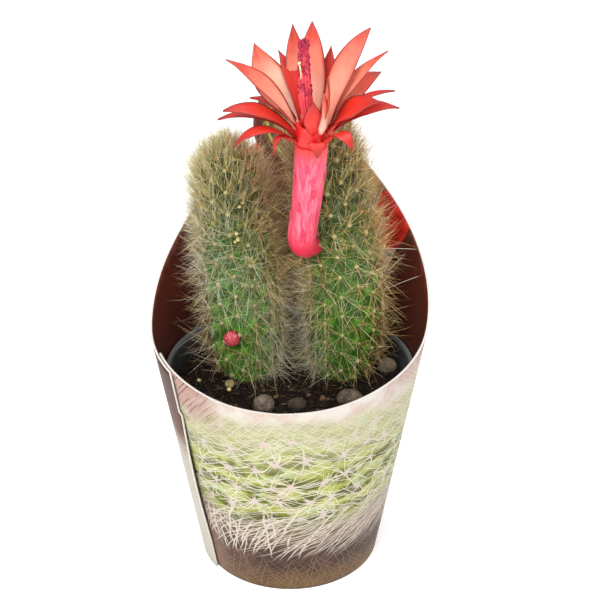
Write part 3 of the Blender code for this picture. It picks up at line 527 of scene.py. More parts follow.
def bent_tube(path, radii, sides):
    """A tube along a path of points, closed at both ends."""
    path = np.asarray(path, float)
    along = unit(np.gradient(path, axis=0))
    aside = ACROSS if abs(along[0][0]) < 0.8 else REAR
    side = unit(aside - along * (along @ aside)[:, None])
    outward = around(side, np.cross(along, side), turns(sides))
    rings = path[:, None] + outward * np.asarray(radii)[:, None, None]
    return np.concatenate([rings.reshape(-1, 3), path[[0, -1]]]), ring_faces(len(path), sides)


# Materials


class Wire:
    """A node's output that can be reckoned with: each sign and each call adds a node."""

    def __init__(self, nodes, socket):
        self.nodes, self.socket = nodes, socket

    def math(self, operation, *others):
        return self.nodes.math(operation, self, *others)

    def __add__(self, other):
        return self.math("ADD", other)

    def __sub__(self, other):
        return self.math("SUBTRACT", other)

    def __mul__(self, other):
        return self.math("MULTIPLY", other)

    def __truediv__(self, other):
        return self.math("DIVIDE", other)

    def __abs__(self):
        return self.math("ABSOLUTE")

    def line(self, slope, start):
        """This times slope, plus start."""
        return self.math("MULTIPLY_ADD", slope, start)

    def floor(self):
        return self.math("FLOOR")

    def step(self, low, high):
        """0 below low and 1 above high, smooth between them. With low above high it falls instead."""
        if low > high:
            return self.nodes.math("SUBTRACT", 1.0, self.step(high, low))
        limits = {"Value": self, "From Min": low, "From Max": high}
        return self.nodes.make("ShaderNodeMapRange", limits, interpolation_type="SMOOTHSTEP")

    def beside(self, output):
        """Another output of the same node."""
        return Wire(self.nodes, self.socket.node.outputs[output])


class Nodes:
    """Builds a material's nodes with short calls. An input is a number, a tuple or a wire."""

    def __init__(self, name, roughness=0.6, **values):
        self.material = bpy.data.materials.new(name)
        self.material.use_nodes = True
        self.tree = self.material.node_tree
        self.shader = self.tree.nodes["Principled BSDF"]
        self.shader.inputs["Roughness"].default_value = roughness
        for key, value in values.items():
            self.shader.inputs[key.replace("_", " ")].default_value = value

    def make(self, kind, inputs=(), output=0, **settings):
        node = self.tree.nodes.new(kind)
        for key, value in settings.items():
            setattr(node, key, value)
        for key, value in dict(inputs).items():
            self.feed(node.inputs[key], value)
        return Wire(self, node.outputs[output])

    def feed(self, socket, value):
        if isinstance(value, Wire):
            self.tree.links.new(value.socket, socket)
        elif value is not None:
            socket.default_value = value

    def place(self, kind="Object"):
        return self.make("ShaderNodeTexCoord", output=kind)

    def card_place(self):
        """The place on the flattened sleeve in millimetres."""
        return self.vector("SCALE", self.place("UV"), scale=CARD_MAP_SCALE)

    def math(self, operation, *values):
        return self.make("ShaderNodeMath", dict(enumerate(values)), operation=operation)

    def vector(self, operation, first, second=None, scale=None):
        return self.make("ShaderNodeVectorMath", {0: first, 1: second, 3: scale}, operation=operation)

    def split(self, value, kind="XYZ"):
        """The three numbers in a vector or colour."""
        first = self.make(f"ShaderNodeSeparate{kind}", {0: value})
        return [first.beside(index) for index in range(3)]

    def lot(self, *keys):
        """A random number for each set of keys."""
        spot = self.make("ShaderNodeCombineXYZ", dict(enumerate(keys)))
        return self.make("ShaderNodeTexWhiteNoise", {"Vector": spot}, "Value", noise_dimensions="3D")

    def lots(self, *keys):
        """Three random numbers for each set of keys."""
        return self.split(self.lot(*keys).beside("Color"), "Color")

    def scaled(self, vector, scale, turn=0.0, offset=(0.0, 0.0, 0.0)):
        """The vector turned about Z, then scaled and moved."""
        turned = {"Vector": vector, "Rotation": (0.0, 0.0, math.radians(turn))}
        turned = self.make("ShaderNodeMapping", turned)
        return self.make("ShaderNodeMapping", {"Vector": turned, "Scale": scale, "Location": offset})

    def noise(self, vector, scale, detail=2.0, rough=0.5, **moved):
        """Noise at a scale, or at three for the axes, which may be turned and moved."""
        if isinstance(scale, tuple):
            vector, scale = self.scaled(vector, scale, **moved), 1.0
        inputs = {"Vector": vector, "Scale": scale, "Detail": detail, "Roughness": rough}
        return self.make("ShaderNodeTexNoise", inputs)

    def ramp(self, value, stops):
        wire = self.make("ShaderNodeValToRGB", {0: value})
        elements = wire.socket.node.color_ramp.elements
        while len(elements) < len(stops):
            elements.new(0.5)
        for element, (position, colour) in zip(elements, stops):
            element.position = position
            element.color = rgba(colour)
        return wire

    def mix(self, share, first, second, blend="MIX"):
        node = self.tree.nodes.new("ShaderNodeMix")
        node.data_type = "RGBA"
        node.blend_type = blend
        self.feed(node.inputs[0], share)
        colours = [socket for socket in node.inputs if socket.type == "RGBA"]
        for socket, value in zip(colours, (first, second)):
            self.feed(socket, rgba(value) if isinstance(value, tuple) else value)
        return Wire(self, [socket for socket in node.outputs if socket.type == "RGBA"][0])

    def bump(self, height, distance, strength=1.0):
        bump = {"Height": height, "Distance": distance * MM, "Strength": strength}
        self.feed(self.shader.inputs["Normal"], self.make("ShaderNodeBump", bump))

    def layers(self, colour, *others):
        """A colour with others laid over it in turn, each by its share."""
        for share, other in others:
            colour = self.mix(share, colour, other)
        return colour

    def colour(self, *layers):
        """The finished material, in these layers of colour."""
        self.feed(self.shader.inputs["Base Color"], self.layers(*layers))
        return self.material


def rgba(colour):
    """A colour from its 0-255 values as seen."""
    shares = [value / 255.0 for value in colour]
    return (*[x / 12.92 if x <= 0.04045 else ((x + 0.055) / 1.055) ** 2.4 for x in shares], 1.0)


def shaded(colour, factor):
    return tuple(min(255, int(value * factor)) for value in colour)


def most(wires):
    """The greatest of some wires."""
    best, *others = wires
    for wire in others:
        best = best.math("MAXIMUM", wire)
    return best


def grainy(name, roughness, scale, dark, light, detail=3.0, rough=0.5, bump=(), limits=(), **values):
    """A material of two colours mixed by a fine grain, which also bumps it."""
    nodes = Nodes(name, roughness, **values)
    grain = nodes.noise(nodes.place(), scale, detail, rough)
    if bump:
        nodes.bump(grain, *bump)
    return nodes.colour(dark, (grain.step(*limits) if limits else grain, light))


# Card sleeve


def card_radius(height):
    return CARD_FOOT_RADIUS + CARD_FLARE * height


def card_points(azimuth, height):
    """Points on the sleeve's outer face."""
    to_edge = CARD_OVER_EDGE - azimuth
    radius = card_radius(height) + CARD_LAP_STEP * smooth_step(1.0 - to_edge / CARD_LAP_FADE)
    lifted = np.clip((height - CARD_LIFT_FOOT) / (CARD_NOTCH_HEIGHT - CARD_LIFT_FOOT), 0.0, 1.0)
    radius = radius + CARD_LIFT * np.sin(math.pi * lifted) * smooth_step(1.0 - to_edge / CARD_LIFT_SPAN)
    angle = np.radians(azimuth)
    return np.stack((radius * np.sin(angle), -radius * np.cos(angle), height), 1)


def card_rim_height(azimuth):
    return spline(CARD_RIM, np.abs((np.asarray(azimuth) + 180.0) % 360.0 - 180.0))[:, 0]


def card_outline():
    """The sleeve's flat outline as (azimuth, height), anticlockwise from the hidden under edge's foot."""
    neck, neck_height = CARD_RIM[-1]
    rows = [(azimuth, 0.0) for azimuth in np.arange(CARD_UNDER_EDGE, CARD_OVER_EDGE + 0.01, CARD_RIM_STEP)]
    rows += [(CARD_OVER_EDGE, height) for height in np.arange(0.0, CARD_NOTCH_HEIGHT, CARD_GRID)]
    rows += [(CARD_OVER_EDGE, CARD_NOTCH_HEIGHT), (CARD_OVER_EDGE_TOP, CARD_NOTCH_HEIGHT + 1.0)]
    left = np.arange(CARD_OVER_EDGE_TOP, 360.0 - neck + CARD_RIM_STEP / 2, -CARD_RIM_STEP)
    rows += [*zip(left, card_rim_height(left)), (360.0 - neck, neck_height)]
    start = math.asin((neck_height - HEADER_CENTRE_HEIGHT) / HEADER_RADIUS)
    for index in range(1, HEADER_POINTS):
        angle = start + (math.pi - 2.0 * start) * index / HEADER_POINTS
        height = HEADER_CENTRE_HEIGHT + HEADER_RADIUS * math.sin(angle)
        across = math.degrees(HEADER_RADIUS * math.cos(angle) / card_radius(height))
        rows.append((HEADER_AZIMUTH + across, height))
    right = np.arange(neck - CARD_RIM_STEP, CARD_UNDER_EDGE, -CARD_RIM_STEP)
    rows += [(neck, neck_height), *zip(right, card_rim_height(right))]
    drop = card_rim_height([CARD_UNDER_EDGE])[0] - CARD_UNDER_DROP
    rows += [(CARD_UNDER_EDGE, height) for height in np.arange(drop, 1.0, -CARD_GRID)]
    clean = [rows[0]]
    for row in rows[1:]:
        if math.hypot(row[0] - clean[-1][0], row[1] - clean[-1][1]) > 0.2:
            clean.append(row)
    return clean


def card_top(azimuth):
    across = math.radians(azimuth - HEADER_AZIMUTH) * card_radius(HEADER_CENTRE_HEIGHT)
    if abs(across) < HEADER_RADIUS - 1.0:
        return HEADER_CENTRE_HEIGHT + math.sqrt(HEADER_RADIUS**2 - across**2)
    return card_rim_height([azimuth])[0]


def make_sleeve():
    outline = card_outline()
    inner = []
    for azimuth in np.arange(CARD_UNDER_EDGE + CARD_GRID, CARD_OVER_EDGE - 1.0, CARD_GRID):
        inner += [(azimuth, height) for height in np.arange(CARD_GRID, card_top(azimuth) - 1.5, CARD_GRID)]
    flat = [Vector((azimuth * CARD_MM_PER_DEGREE, height)) for azimuth, height in outline + inner]
    edges = [(index, (index + 1) % len(outline)) for index in range(len(outline))]
    sheet = delaunay_2d_cdt(flat, edges, [], 1, 0.0001)
    spots = np.array([tuple(point) for point in sheet[0]])
    points = card_points(spots[:, 0] / CARD_MM_PER_DEGREE, spots[:, 1])
    edge = grainy("card_edge", 0.8, 1800.0, (186, 180, 172), (222, 218, 212), 2.0)
    materials = [card_print(), card_inside(), edge]
    faces = [tuple(face) for face in sheet[2]]
    sleeve = new_mesh("sleeve_card", points, faces, materials, spots / CARD_MAP_SCALE)
    thick = sleeve.modifiers.new("Card", "SOLIDIFY")
    thick.thickness = CARD_THICKNESS * MM
    thick.offset = -1.0
    thick.material_offset = 1
    thick.material_offset_rim = 2
    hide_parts("sleeve")


def stroke(lot, lane, number, slack, pitch, width):
    """A thin line in each lane, off its middle by lot."""
    aside = (lot - 0.5).line(slack, lane - number - 0.5)
    return (abs(aside) * pitch / width).step(1.3, 0.5)


def card_star(nodes, across, up, shift, seed):
    """One layer of the print: pale tufts on a lattice with fine straight rays. Returns rays and tufts."""
    right, high = across / CARD_CELL[0] + shift[0], up / CARD_CELL[1] + shift[1]
    column, row = right.floor(), high.floor()
    askew = nodes.lots(column, row, seed)
    x = (askew[0] - 0.5).line(0.22, right - column - 0.5) * CARD_CELL[0]
    y = (askew[1] - 0.5).line(0.12, high - row - 0.5) * CARD_CELL[1]
    reach = (x * x + y * y).math("SQRT")
    fan = reach.line((askew[2] - 0.5) * 0.2, y.math("ARCTAN2", x)) * (CARD_RAYS / TAU)
    sector = fan.floor()
    lots = nodes.lots(sector, column.line(17.0, row), seed)
    aside = (lots[0] - 0.5).line(0.75, fan - sector - 0.5)
    off = abs(reach * (aside * (TAU / CARD_RAYS)))
    gone = reach / lots[1].line(6.0, 3.0)
    rays = (off / gone.line(-0.12, 0.24)).step(1.3, 0.5) * gone.step(1.0, 0.7) * lots[2].step(0.15, 0.75)
    return rays, (reach / lots[2].line(1.0, 0.6)).step(1.5, 0.9)


def card_dashes(nodes, place, turn, pitch, length, chance, seed, width=0.16):
    """Crisp straight strokes of uneven length along one direction, some of them left out."""
    x, y, _ = nodes.split(nodes.scaled(place, (1.0, 1.0, 1.0), turn, (seed, seed, 0.0)))
    lane = x / pitch
    number = lane.floor()
    run = y / length + nodes.lot(number, seed)
    step = run.floor()
    lots = nodes.lots(number, step, seed)
    ends = abs(run - step - 0.5) / lots[1].line(0.3, 0.2)
    line = stroke(lots[0], lane, number, 0.7, pitch, width) * ends.step(1.0, 0.75)
    return line * lots[2].math("LESS_THAN", chance)


def card_strands(nodes, at, pitch, lean, ends, starts, seed, width=0.17):
    """Long thin strokes side by side that lean with height, each from its own start down to its own end."""
    lane = (at.soft_x - at.soft_y * lean) / pitch
    number = lane.floor()
    lots = nodes.lots(number, seed)
    end, start = (lot.line(high - low, low) for lot, (low, high) in zip(lots[1:], (ends, starts)))
    line = stroke(lots[0], lane, number, 0.6, pitch, width)
    return line * (at.soft_y - end).step(-1.0, 3.0) * (at.soft_y - start).step(1.0, -5.0)


class PrintPlaces:
    """Places on the print in millimetres, true, bent and half bent, and the clouds that its parts share."""

    def __init__(self, nodes):
        self.flat = nodes.card_place()
        warp = nodes.noise(self.flat, 0.06, 1.0).beside("Color")
        warp = nodes.vector("SCALE", nodes.vector("SUBTRACT", warp, (0.5, 0.5, 0.5)), scale=7.0)
        self.bent = nodes.vector("ADD", self.flat, warp)
        self.soft = nodes.vector("ADD", self.flat, nodes.vector("SCALE", warp, scale=0.5))
        self.x, self.y, _ = nodes.split(self.flat)
        self.bent_x, self.bent_y, _ = nodes.split(self.bent)
        self.soft_x, self.soft_y, _ = nodes.split(self.soft)
        self.patches = nodes.noise(self.bent, (0.12, 0.3, 1.0), 3.0, turn=6.0)
        self.mist = nodes.noise(self.bent, (0.07, 0.16, 1.0), offset=(9.0, 3.0, 0.0))
        self.blush = nodes.noise(self.bent, (0.045, 0.08, 1.0), turn=20.0, offset=(4.0, 1.0, 0.0))


def card_print():
    """The sleeve's outer face: a generic print of green flesh in rows of pale tufts, over a dusky foot."""
    nodes = Nodes("card_print", 0.58, Specular_IOR_Level=0.3)
    at = PrintPlaces(nodes)
    printed = print_flesh(nodes, at)
    printed = print_foot(nodes, at, printed)
    printed = print_rim(nodes, at, printed)
    printed = print_rear(nodes, at, printed)
    nodes.bump(nodes.noise(at.flat, 1.6, 3.0), 0.02, 0.4)
    return nodes.colour(nodes.mix(1.0, printed, CARD_TONE, "MULTIPLY"))


def print_flesh(nodes, at):
    """Rows of green flesh with pale tufts and strokes on them."""
    up = at.bent_x.line(-0.14, at.bent_y)
    depth = (up * (TAU / CARD_ROW_PITCH)).math("COSINE").line(0.11, at.patches)
    greens = ((0.36, (192, 200, 98)), (0.44, (166, 180, 52)), (0.51, (130, 142, 8)), (0.6, (96, 98, 0)))
    faded = nodes.mix(at.patches, (226, 222, 186), (190, 196, 122))
    shallow = depth.step(0.54, 0.44)
    dashes = enumerate(CARD_DASHES, start=21)
    lines = [card_dashes(nodes, at.soft, *layer, seed) * 0.9 for seed, layer in dashes]
    stars = enumerate(CARD_STARS, start=1)
    rays, tufts = zip(*[card_star(nodes, at.bent_x, up, shift, seed) for seed, shift in stars])
    drawn = at.bent_y.step(74.0, 56.0).line(0.5, 0.45)
    shown = at.bent_y.step(76.0, 66.0) * 0.85
    return nodes.layers(
        nodes.ramp(depth, greens),
        (at.bent_y.step(50.0, 70.0) * 0.8, faded),
        (at.mist.step(0.5, 0.66) * (shallow * 0.6), (204, 220, 190)),
        (at.blush.step(0.54, 0.68) * (shallow * 0.7), (226, 204, 186)),
        (most([*lines, *rays]) * drawn, nodes.mix(at.mist, (255, 253, 246), (252, 250, 220))),
        (most(tufts) * shown, (238, 218, 214)),
    )


def print_foot(nodes, at, printed):
    """The dusky foot with pale strokes hanging over it and faint hairs in it."""
    tones = ((134, 104, 50), (110, 78, 50), (66, 36, 30), (80, 54, 40), (78, 74, 18))
    dusk = nodes.layers(
        nodes.ramp(at.patches.line(10.0, at.y) / 36.0, tuple(zip((0.12, 0.28, 0.44, 0.64, 1.0), tones))),
        (nodes.noise(at.bent, 0.06).step(0.48, 0.62) * 0.4, (118, 76, 70)),
        (at.x.step(-20.0, -34.0) * 0.75, (150, 112, 96)),
    )
    lean = at.x.line(0.02, 0.55).math("MINIMUM", 1.4).math("MAXIMUM", -0.1)
    pale = most([
        card_strands(nodes, at, pitch, lean + tilt, CARD_CURTAIN_ENDS, starts, 5.0 + index)
        for index, (pitch, tilt, starts) in enumerate(CARD_CURTAIN)
    ])
    printed = nodes.mix(at.patches.line(9.0, at.bent_y).step(29.0, 43.0), dusk, printed)
    glow = at.bent_y.step(17.0, 25.0) * at.bent_y.step(34.0, 26.0)
    faint = most([
        card_strands(nodes, at, pitch, tilt, (-6.0, 7.0), (7.0, 20.0), 41.0 + index, 0.14)
        for index, (pitch, tilt) in enumerate(CARD_FOOT_HAIRS)
    ])
    return nodes.layers(
        printed,
        (glow * 0.4, (156, 120, 102)),
        (pale * 0.88, (252, 242, 230)),
        (faint * 0.42, (200, 172, 126)),
    )


def print_rim(nodes, at, printed):
    """The pale band below the rim, browner and streaky at both sides."""
    ragged = nodes.noise(at.bent, (0.5, 0.05, 1.0)).line(12.0, at.y)
    warm = nodes.mix(nodes.noise(at.bent, 0.12).step(0.4, 0.6), (252, 246, 244), (238, 216, 208))
    band = at.blush.line(8.0, at.y).step(76.0, 83.0) * 0.95
    sweep = card_strands(nodes, at, 2.2, -1.5, (56.0, 72.0), (76.0, 96.0), 13.0)
    sweep = most([sweep, card_strands(nodes, at, 3.1, 0.9, (58.0, 74.0), (76.0, 96.0), 14.0)]) * 0.7
    darker = card_dashes(nodes, at.soft, 38.0, 1.0, 26.0, 0.7, 31.0, 0.24)
    brown = nodes.mix(sweep, nodes.mix(darker, (206, 166, 156), (146, 86, 76)), (240, 228, 220))
    near = at.x.step(-14.0, -26.0) * ragged.step(71.0, 81.0)
    far = at.x.step(26.0, 44.0) * ragged.step(80.0, 92.0) * 0.7
    return nodes.layers(printed, (band, warm), (sweep, (246, 240, 232)), (near, brown), (far, brown))


def print_rear(nodes, at, printed):
    """The pale strip at the overlap, and the plain brown back."""
    tones = ((224, 220, 208), (226, 222, 212), (218, 210, 200), (118, 78, 64), (84, 46, 34))
    strip = nodes.ramp(at.patches.line(8.0, at.y) / 90.0, tuple(zip((0.0, 0.3, 0.59, 0.71, 1.0), tones)))
    back = nodes.mix(nodes.noise(at.bent, 0.2, 3.0), (108, 66, 54), (132, 86, 70))
    return nodes.layers(printed, (at.x.step(150.0, 175.0), strip), (at.y.step(92.0, 104.0), back))


def card_inside():
    """The sleeve's inner face: dark red-brown with painted shade lower down, deeper in the sleeve, and a
    bordered mottled panel on the header.
    """
    nodes = Nodes("card_inside", 0.42)
    flat = nodes.card_place()
    across, height, _ = nodes.split(flat)
    fine = nodes.noise(flat, 0.9, 4.0, 0.6)
    nodes.bump(fine, 0.02, 0.3)
    cloud = nodes.noise(flat, 0.035).step(0.4, 0.7)
    # Painted shade: the inner face darkens lower down, deeper in the sleeve.
    low = height.step(95.0, 60.0)
    stretch = math.radians(1.0) * card_radius(HEADER_CENTRE_HEIGHT) / CARD_MM_PER_DEGREE
    x = (across - HEADER_AZIMUTH * CARD_MM_PER_DEGREE) * stretch
    y = height - HEADER_CENTRE_HEIGHT
    reach = (x * x + y * y).math("SQRT")
    straws = most([
        nodes.noise(flat, (2.0, 1.0 / 7.0, 1.0), 1.0, turn=turn, offset=(move, 0.0, 0.0)).step(0.55, 0.64)
        for turn, move in ((12.0, 0.0), (-30.0, 3.0))
    ])
    ring = reach.step(12.2, 12.6) * reach.step(13.6, 13.2) * x.step(6.0, 9.0)
    panel = nodes.layers(
        (74, 58, 30),
        (nodes.noise(flat, 0.5, 4.0, 0.65).step(0.42, 0.62), (128, 104, 60)),
        (straws * 0.6, (178, 158, 104)),
        (ring, (168, 160, 84)),
    )
    ground = nodes.layers(
        (80, 34, 24),
        (fine, (92, 42, 30)),
        (cloud, (104, 46, 32)),
        # painted shade lower down in the sleeve
        (low, (60, 24, 18)),
        (fine.line(0.8, reach).step(15.4, 14.8), panel),
    )
    return nodes.colour(motifs(nodes, flat, ground))


def motifs(nodes, flat, ground):
    """Plain red egg shapes, one with a pale stalk, printed on the inner face beside the header."""
    for azimuth, height, half_wide, half_high, stalk in MOTIFS:
        centre = (azimuth * CARD_MM_PER_DEGREE, height, 0.0)
        x, y, _ = nodes.split(nodes.vector("SUBTRACT", flat, centre))
        x = abs(y.line(0.12 * stalk, x))
        wide, tall = x / half_wide * y.line(-0.02, 1.0), abs(y / half_high)
        reach = wide.math("POWER", 2.6) + tall.math("POWER", 2.6)
        red = nodes.mix(nodes.noise(flat, 0.25, 3.0).step(0.35, 0.65), (176, 22, 18), (222, 52, 34))
        if stalk:
            inside = (x - y.line(0.22, 6.6)).step(0.15, -0.15)
            inside = inside * y.step(-half_high + 1.5, -half_high + 0.8) * y.step(-32.0, -31.0)
            grey = nodes.mix(nodes.noise(flat, 0.6, 3.0), (150, 132, 124), (190, 176, 166))
            ground = nodes.mix(inside, ground, grey)
        ground = nodes.mix(reach.step(1.04, 0.96), ground, red)
    return ground


# Plant pot and soil


def pot_inner_radius(height):
    share = height / (POT_HEIGHT - POT_LIP_DEPTH)
    return POT_FOOT_RADIUS - POT_WALL + (POT_NECK_RADIUS - POT_FOOT_RADIUS) * share


def rounded(profile, radius):
    """A profile with each inner corner cut into a short arc."""
    rows = [profile[0]]
    for before, here, after in zip(profile, profile[1:], profile[2:]):
        here, back, ahead = np.array(here), np.array(before) - here, np.array(after) - here
        back_length, ahead_length = np.linalg.norm(back), np.linalg.norm(ahead)
        reach = min(radius, 0.45 * back_length, 0.45 * ahead_length)
        start, end = here + back / back_length * reach, here + ahead / ahead_length * reach
        for share in (0.0, 0.33, 0.67, 1.0):
            rows.append(tuple((1 - share) ** 2 * start + 2 * share * (1 - share) * here + share**2 * end))
    return [*rows, profile[-1]]


def pot_profile():
    """The pot's outline as (radius, height), from the middle of its floor to that of its underside."""
    lip_foot = POT_HEIGHT - POT_LIP_DEPTH
    inner = [(pot_inner_radius(height), height) for height in np.linspace(POT_FLOOR, lip_foot, 12)]
    outer = np.linspace(lip_foot - POT_EDGE_ROUND, POT_EDGE_ROUND * 2, 12)
    slope = (POT_NECK_RADIUS - POT_FOOT_RADIUS) / (outer[0] - outer[-1])
    lip = [
        (POT_LIP_RADIUS - POT_LIP_WIDTH, POT_HEIGHT - POT_EDGE_ROUND),
        (POT_LIP_RADIUS - POT_LIP_WIDTH + POT_EDGE_ROUND, POT_HEIGHT),
        (POT_LIP_RADIUS - POT_EDGE_ROUND, POT_HEIGHT),
        (POT_LIP_RADIUS, POT_HEIGHT - POT_EDGE_ROUND),
        (POT_LIP_FOOT_RADIUS, lip_foot),
    ]
    wall = [(POT_FOOT_RADIUS + slope * (height - outer[-1]), height) for height in outer]
    foot = [(POT_FOOT_RADIUS - POT_EDGE_ROUND, 0.0), (0.0, 0.0)]
    return rounded([(0.0, POT_FLOOR), *inner, *lip, *wall, *foot], 0.35)


def make_pot():
    profile, angles = pot_profile(), turns(POT_SIDES)
    rings = [level_ring(radius, height, angles) for radius, height in profile[1:-1]]
    points = np.concatenate([*rings, [(0.0, 0.0, profile[0][1]), (0.0, 0.0, profile[-1][1])]])
    faces = ring_faces(len(rings), POT_SIDES)[:, ::-1]
    pot = new_mesh("pot_body", points, faces, [pot_material()])
    for angle in turns(DRAIN_COUNT):
        place = Vector((math.cos(angle), math.sin(angle), 0.0)) * DRAIN_RING_RADIUS * MM
        bpy.ops.mesh.primitive_cylinder_add(
            vertices=DRAIN_SIDES, radius=DRAIN_RADIUS * MM, depth=4 * POT_FLOOR * MM, location=place
        )
        cutter = bpy.context.object
        hole = pot.modifiers.new("Drain", "BOOLEAN")
        hole.operation = "DIFFERENCE"
        hole.object = cutter
        settle(pot)
        bpy.data.objects.remove(cutter, do_unlink=True)
    pot.data.set_sharp_from_angle(angle=math.radians(45.0))
    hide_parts("nursery_pot")


def settle(obj):
    """Replaces an object's mesh by its evaluated one and drops its modifiers."""
    graph = bpy.context.evaluated_depsgraph_get()
    mesh = bpy.data.meshes.new_from_object(obj.evaluated_get(graph))
    obj.modifiers.clear()
    obj.data = mesh


def pot_material():
    """Dark moulded plastic, hazy and specked, with a painted sheen that makes the top of the lip paler."""
    nodes = Nodes("pot_plastic", 0.4, Specular_IOR_Level=0.6)
    place = nodes.place()
    haze = nodes.noise(place, 60.0, 3.0)
    specks = nodes.make("ShaderNodeTexVoronoi", {"Vector": place, "Scale": 520.0}, feature="F1")
    # Painted sheen: the top of the lip is made paler, standing in for its gloss catching the light.
    wear_and_sheen = nodes.split(place)[2].step(71.2 * MM, 72.6 * MM)
    roughness = nodes.make("ShaderNodeMapRange", {"Value": haze, "To Min": 0.3, "To Max": 0.55})
    nodes.feed(nodes.shader.inputs["Roughness"], roughness)
    nodes.bump(nodes.noise(place, 2500.0), 0.01, 0.5)
    return nodes.colour(
        (44, 45, 48),
        (haze.step(0.4, 0.7), (62, 63, 66)),
        # painted sheen on the top of the lip
        (wear_and_sheen * 0.8, (104, 107, 108)),
        (specks.step(0.12, 0.07), (128, 122, 112)),
    )


def soil_level(x, y):
    """The soil's even level, lower in the middle."""
    reach = np.hypot(x, y) / pot_inner_radius(SOIL_EDGE_HEIGHT)
    return SOIL_MIDDLE_HEIGHT + (SOIL_EDGE_HEIGHT - SOIL_MIDDLE_HEIGHT) * reach**2


def soil_height(x, y):
    """The crumbly top of the soil at arrays of places."""
    edge = pot_inner_radius(SOIL_EDGE_HEIGHT)
    calm = smooth_step((1.0 - np.hypot(x, y) / edge) / 0.08)
    spots = np.stack((x, y, np.zeros_like(x)), 1)
    lumps = 0.55 * noise_at(spots, 9.0, 7.0) + 0.5 * noise_at(spots, 3.3, 3.0)
    crumbs = 0.6 * np.abs(noise_at(spots, 1.5, 5.0)) + 0.3 * np.abs(noise_at(spots, 0.75, 9.0))
    return soil_level(x, y) + (lumps + crumbs - 0.35) * calm


def make_soil():
    edge, foot = pot_inner_radius(SOIL_EDGE_HEIGHT) - GAP, POT_FLOOR + GAP
    rings, angles = int(edge / SOIL_CELL), turns(SOIL_SIDES)
    rows = [level_ring(pot_inner_radius(foot) - GAP, foot, angles)]
    for ring in range(rings):
        row = level_ring(edge * (1.0 - ring / rings), 0.0, angles)
        row[:, 2] = soil_height(row[:, 0], row[:, 1])
        rows.append(row)
    rows.append([(0.0, 0.0, foot), (0.0, 0.0, soil_height(np.zeros(1), np.zeros(1))[0])])
    faces = ring_faces(rings + 1, SOIL_SIDES)
    soil = new_mesh("soil_bed", np.concatenate(rows), faces, [soil_material("soil_bed")])
    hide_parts("soil")
    make_crumbs(edge)
    make_fibres(edge)


def soil_spots(rng, count, edge):
    """Random places on the soil that are clear of the stems."""
    reach = np.sqrt(rng.uniform(0.0, 1.0, count)) * edge
    angle = rng.uniform(0.0, TAU, count)
    x, y = reach * np.cos(angle), reach * np.sin(angle)
    clear = np.ones(count, bool)
    for stem in (STEM_LEFT, STEM_RIGHT):
        clear &= np.hypot(x - stem[1][0], y - stem[1][1]) > stem[1][3] + 0.5
    return x[clear], y[clear]


def make_crumbs(edge):
    """Loose crumbs of soil on the surface."""
    rng = np.random.default_rng(SEED)
    x, y = soil_spots(rng, CRUMB_COUNT, edge - 1.6)
    height = soil_height(x, y)
    sizes = 0.35 + 0.9 * rng.random(len(x)) ** 3
    grain, grain_faces = ball(2)
    parts = []
    for index in range(len(x)):
        half = rng.uniform(0.65, 1.2, 3) * sizes[index]
        place = (x[index], y[index], height[index] + 0.15 * half[2])
        parts.append((lump(grain, half, place, (0.28, 0.7, 0.37 * index)), grain_faces))
    points, faces = join(parts)
    groups = np.repeat(rng.choice(3, len(x), p=(0.66, 0.27, 0.07)), len(grain_faces))
    tints = (("crumb_dark",), ("crumb_brown", (62, 40, 26)), ("crumb_pale", (118, 90, 62)))
    new_mesh("soil_crumbs", points, faces, [soil_material(*tint) for tint in tints], groups=groups)


def make_fibres(edge):
    """Dry fibres and fallen bristles that lie on the soil."""
    rng = np.random.default_rng(SEED + 1)
    x, y = soil_spots(rng, FIBRE_COUNT, edge - 5.0)
    count = len(x)
    turn = rng.uniform(0.0, TAU, count)
    lean = rng.uniform(-0.05, 0.3, count)
    direction = unit(np.stack((np.cos(turn), np.sin(turn), lean), 1))
    length = rng.uniform(2.5, 8.0, count)
    outside = np.hypot(x + direction[:, 0] * length, y + direction[:, 1] * length) > edge - 1.0
    direction[outside] *= (-1.0, -1.0, 1.0)
    root = np.stack((x, y, soil_height(x, y) + 0.25), 1)
    bend = rng.normal(0.0, 0.25, (count, 3)) * length[:, None] * (1.0, 1.0, 0.2)
    bend[:, 2] -= 0.08 * length
    points, faces, _ = tubes(root, direction, length, rng.uniform(0.06, 0.13, count), bend, 5)
    groups = np.repeat(rng.choice(2, count, p=(0.6, 0.4)), len(faces) // count)
    materials = [soil_material("fibre_brown", (98, 72, 50)), soil_material("fibre_pale", (176, 156, 124))]
    new_mesh("soil_fibres", points, faces, materials, groups=groups)


def soil_material(name, tint=(33, 20, 13)):
    nodes = Nodes(name, 0.92, Specular_IOR_Level=0.2)
    place = nodes.place()
    grain = nodes.noise(place, 1500.0, 4.0, 0.7)
    cloud = nodes.noise(place, 240.0, 4.0, 0.7).step(0.35, 0.7)
    nodes.bump(grain, 0.15, 0.8)
    return nodes.colour(shaded(tint, 0.42), (cloud, tint), (grain.step(0.6, 0.78), shaded(tint, 1.5)))


# Stones


def make_stones():
    directions, faces = ball(5)
    for index, (x, y, half, tint) in enumerate(STONES):
        height = soil_level(x, y) + half[2] * (1.0 - 2 * STONE_SINK)
        broad, pits = (0.09, 1 / 1.6, 3.1 * index), (0.03, 0.22, 1.7 * index)
        points = lump(directions, half, (x, y, height), broad, pits, (0.014, 0.09, 0.9 * index))
        name = f"pebble_{index + 1}"
        stone = new_mesh(name, points, faces, [stone_material(name, tint)])
        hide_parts(f"stone_{index + 1}")


def stone_material(name, tint):
    nodes = Nodes(name, 0.85, Specular_IOR_Level=0.3)
    place = nodes.place()
    cloud = nodes.noise(place, 300.0, 4.0, 0.65)
    grain = nodes.noise(place, 1700.0, 3.0, 0.7)
    nodes.bump(grain, 0.12, 0.8)
    return nodes.colour(
        shaded(tint, 0.62),
        (cloud.step(0.35, 0.65), tint),
        (grain.step(0.58, 0.72), shaded(tint, 1.35)),
        (grain.step(0.4, 0.3), (48, 38, 32)),
    )


# Stems


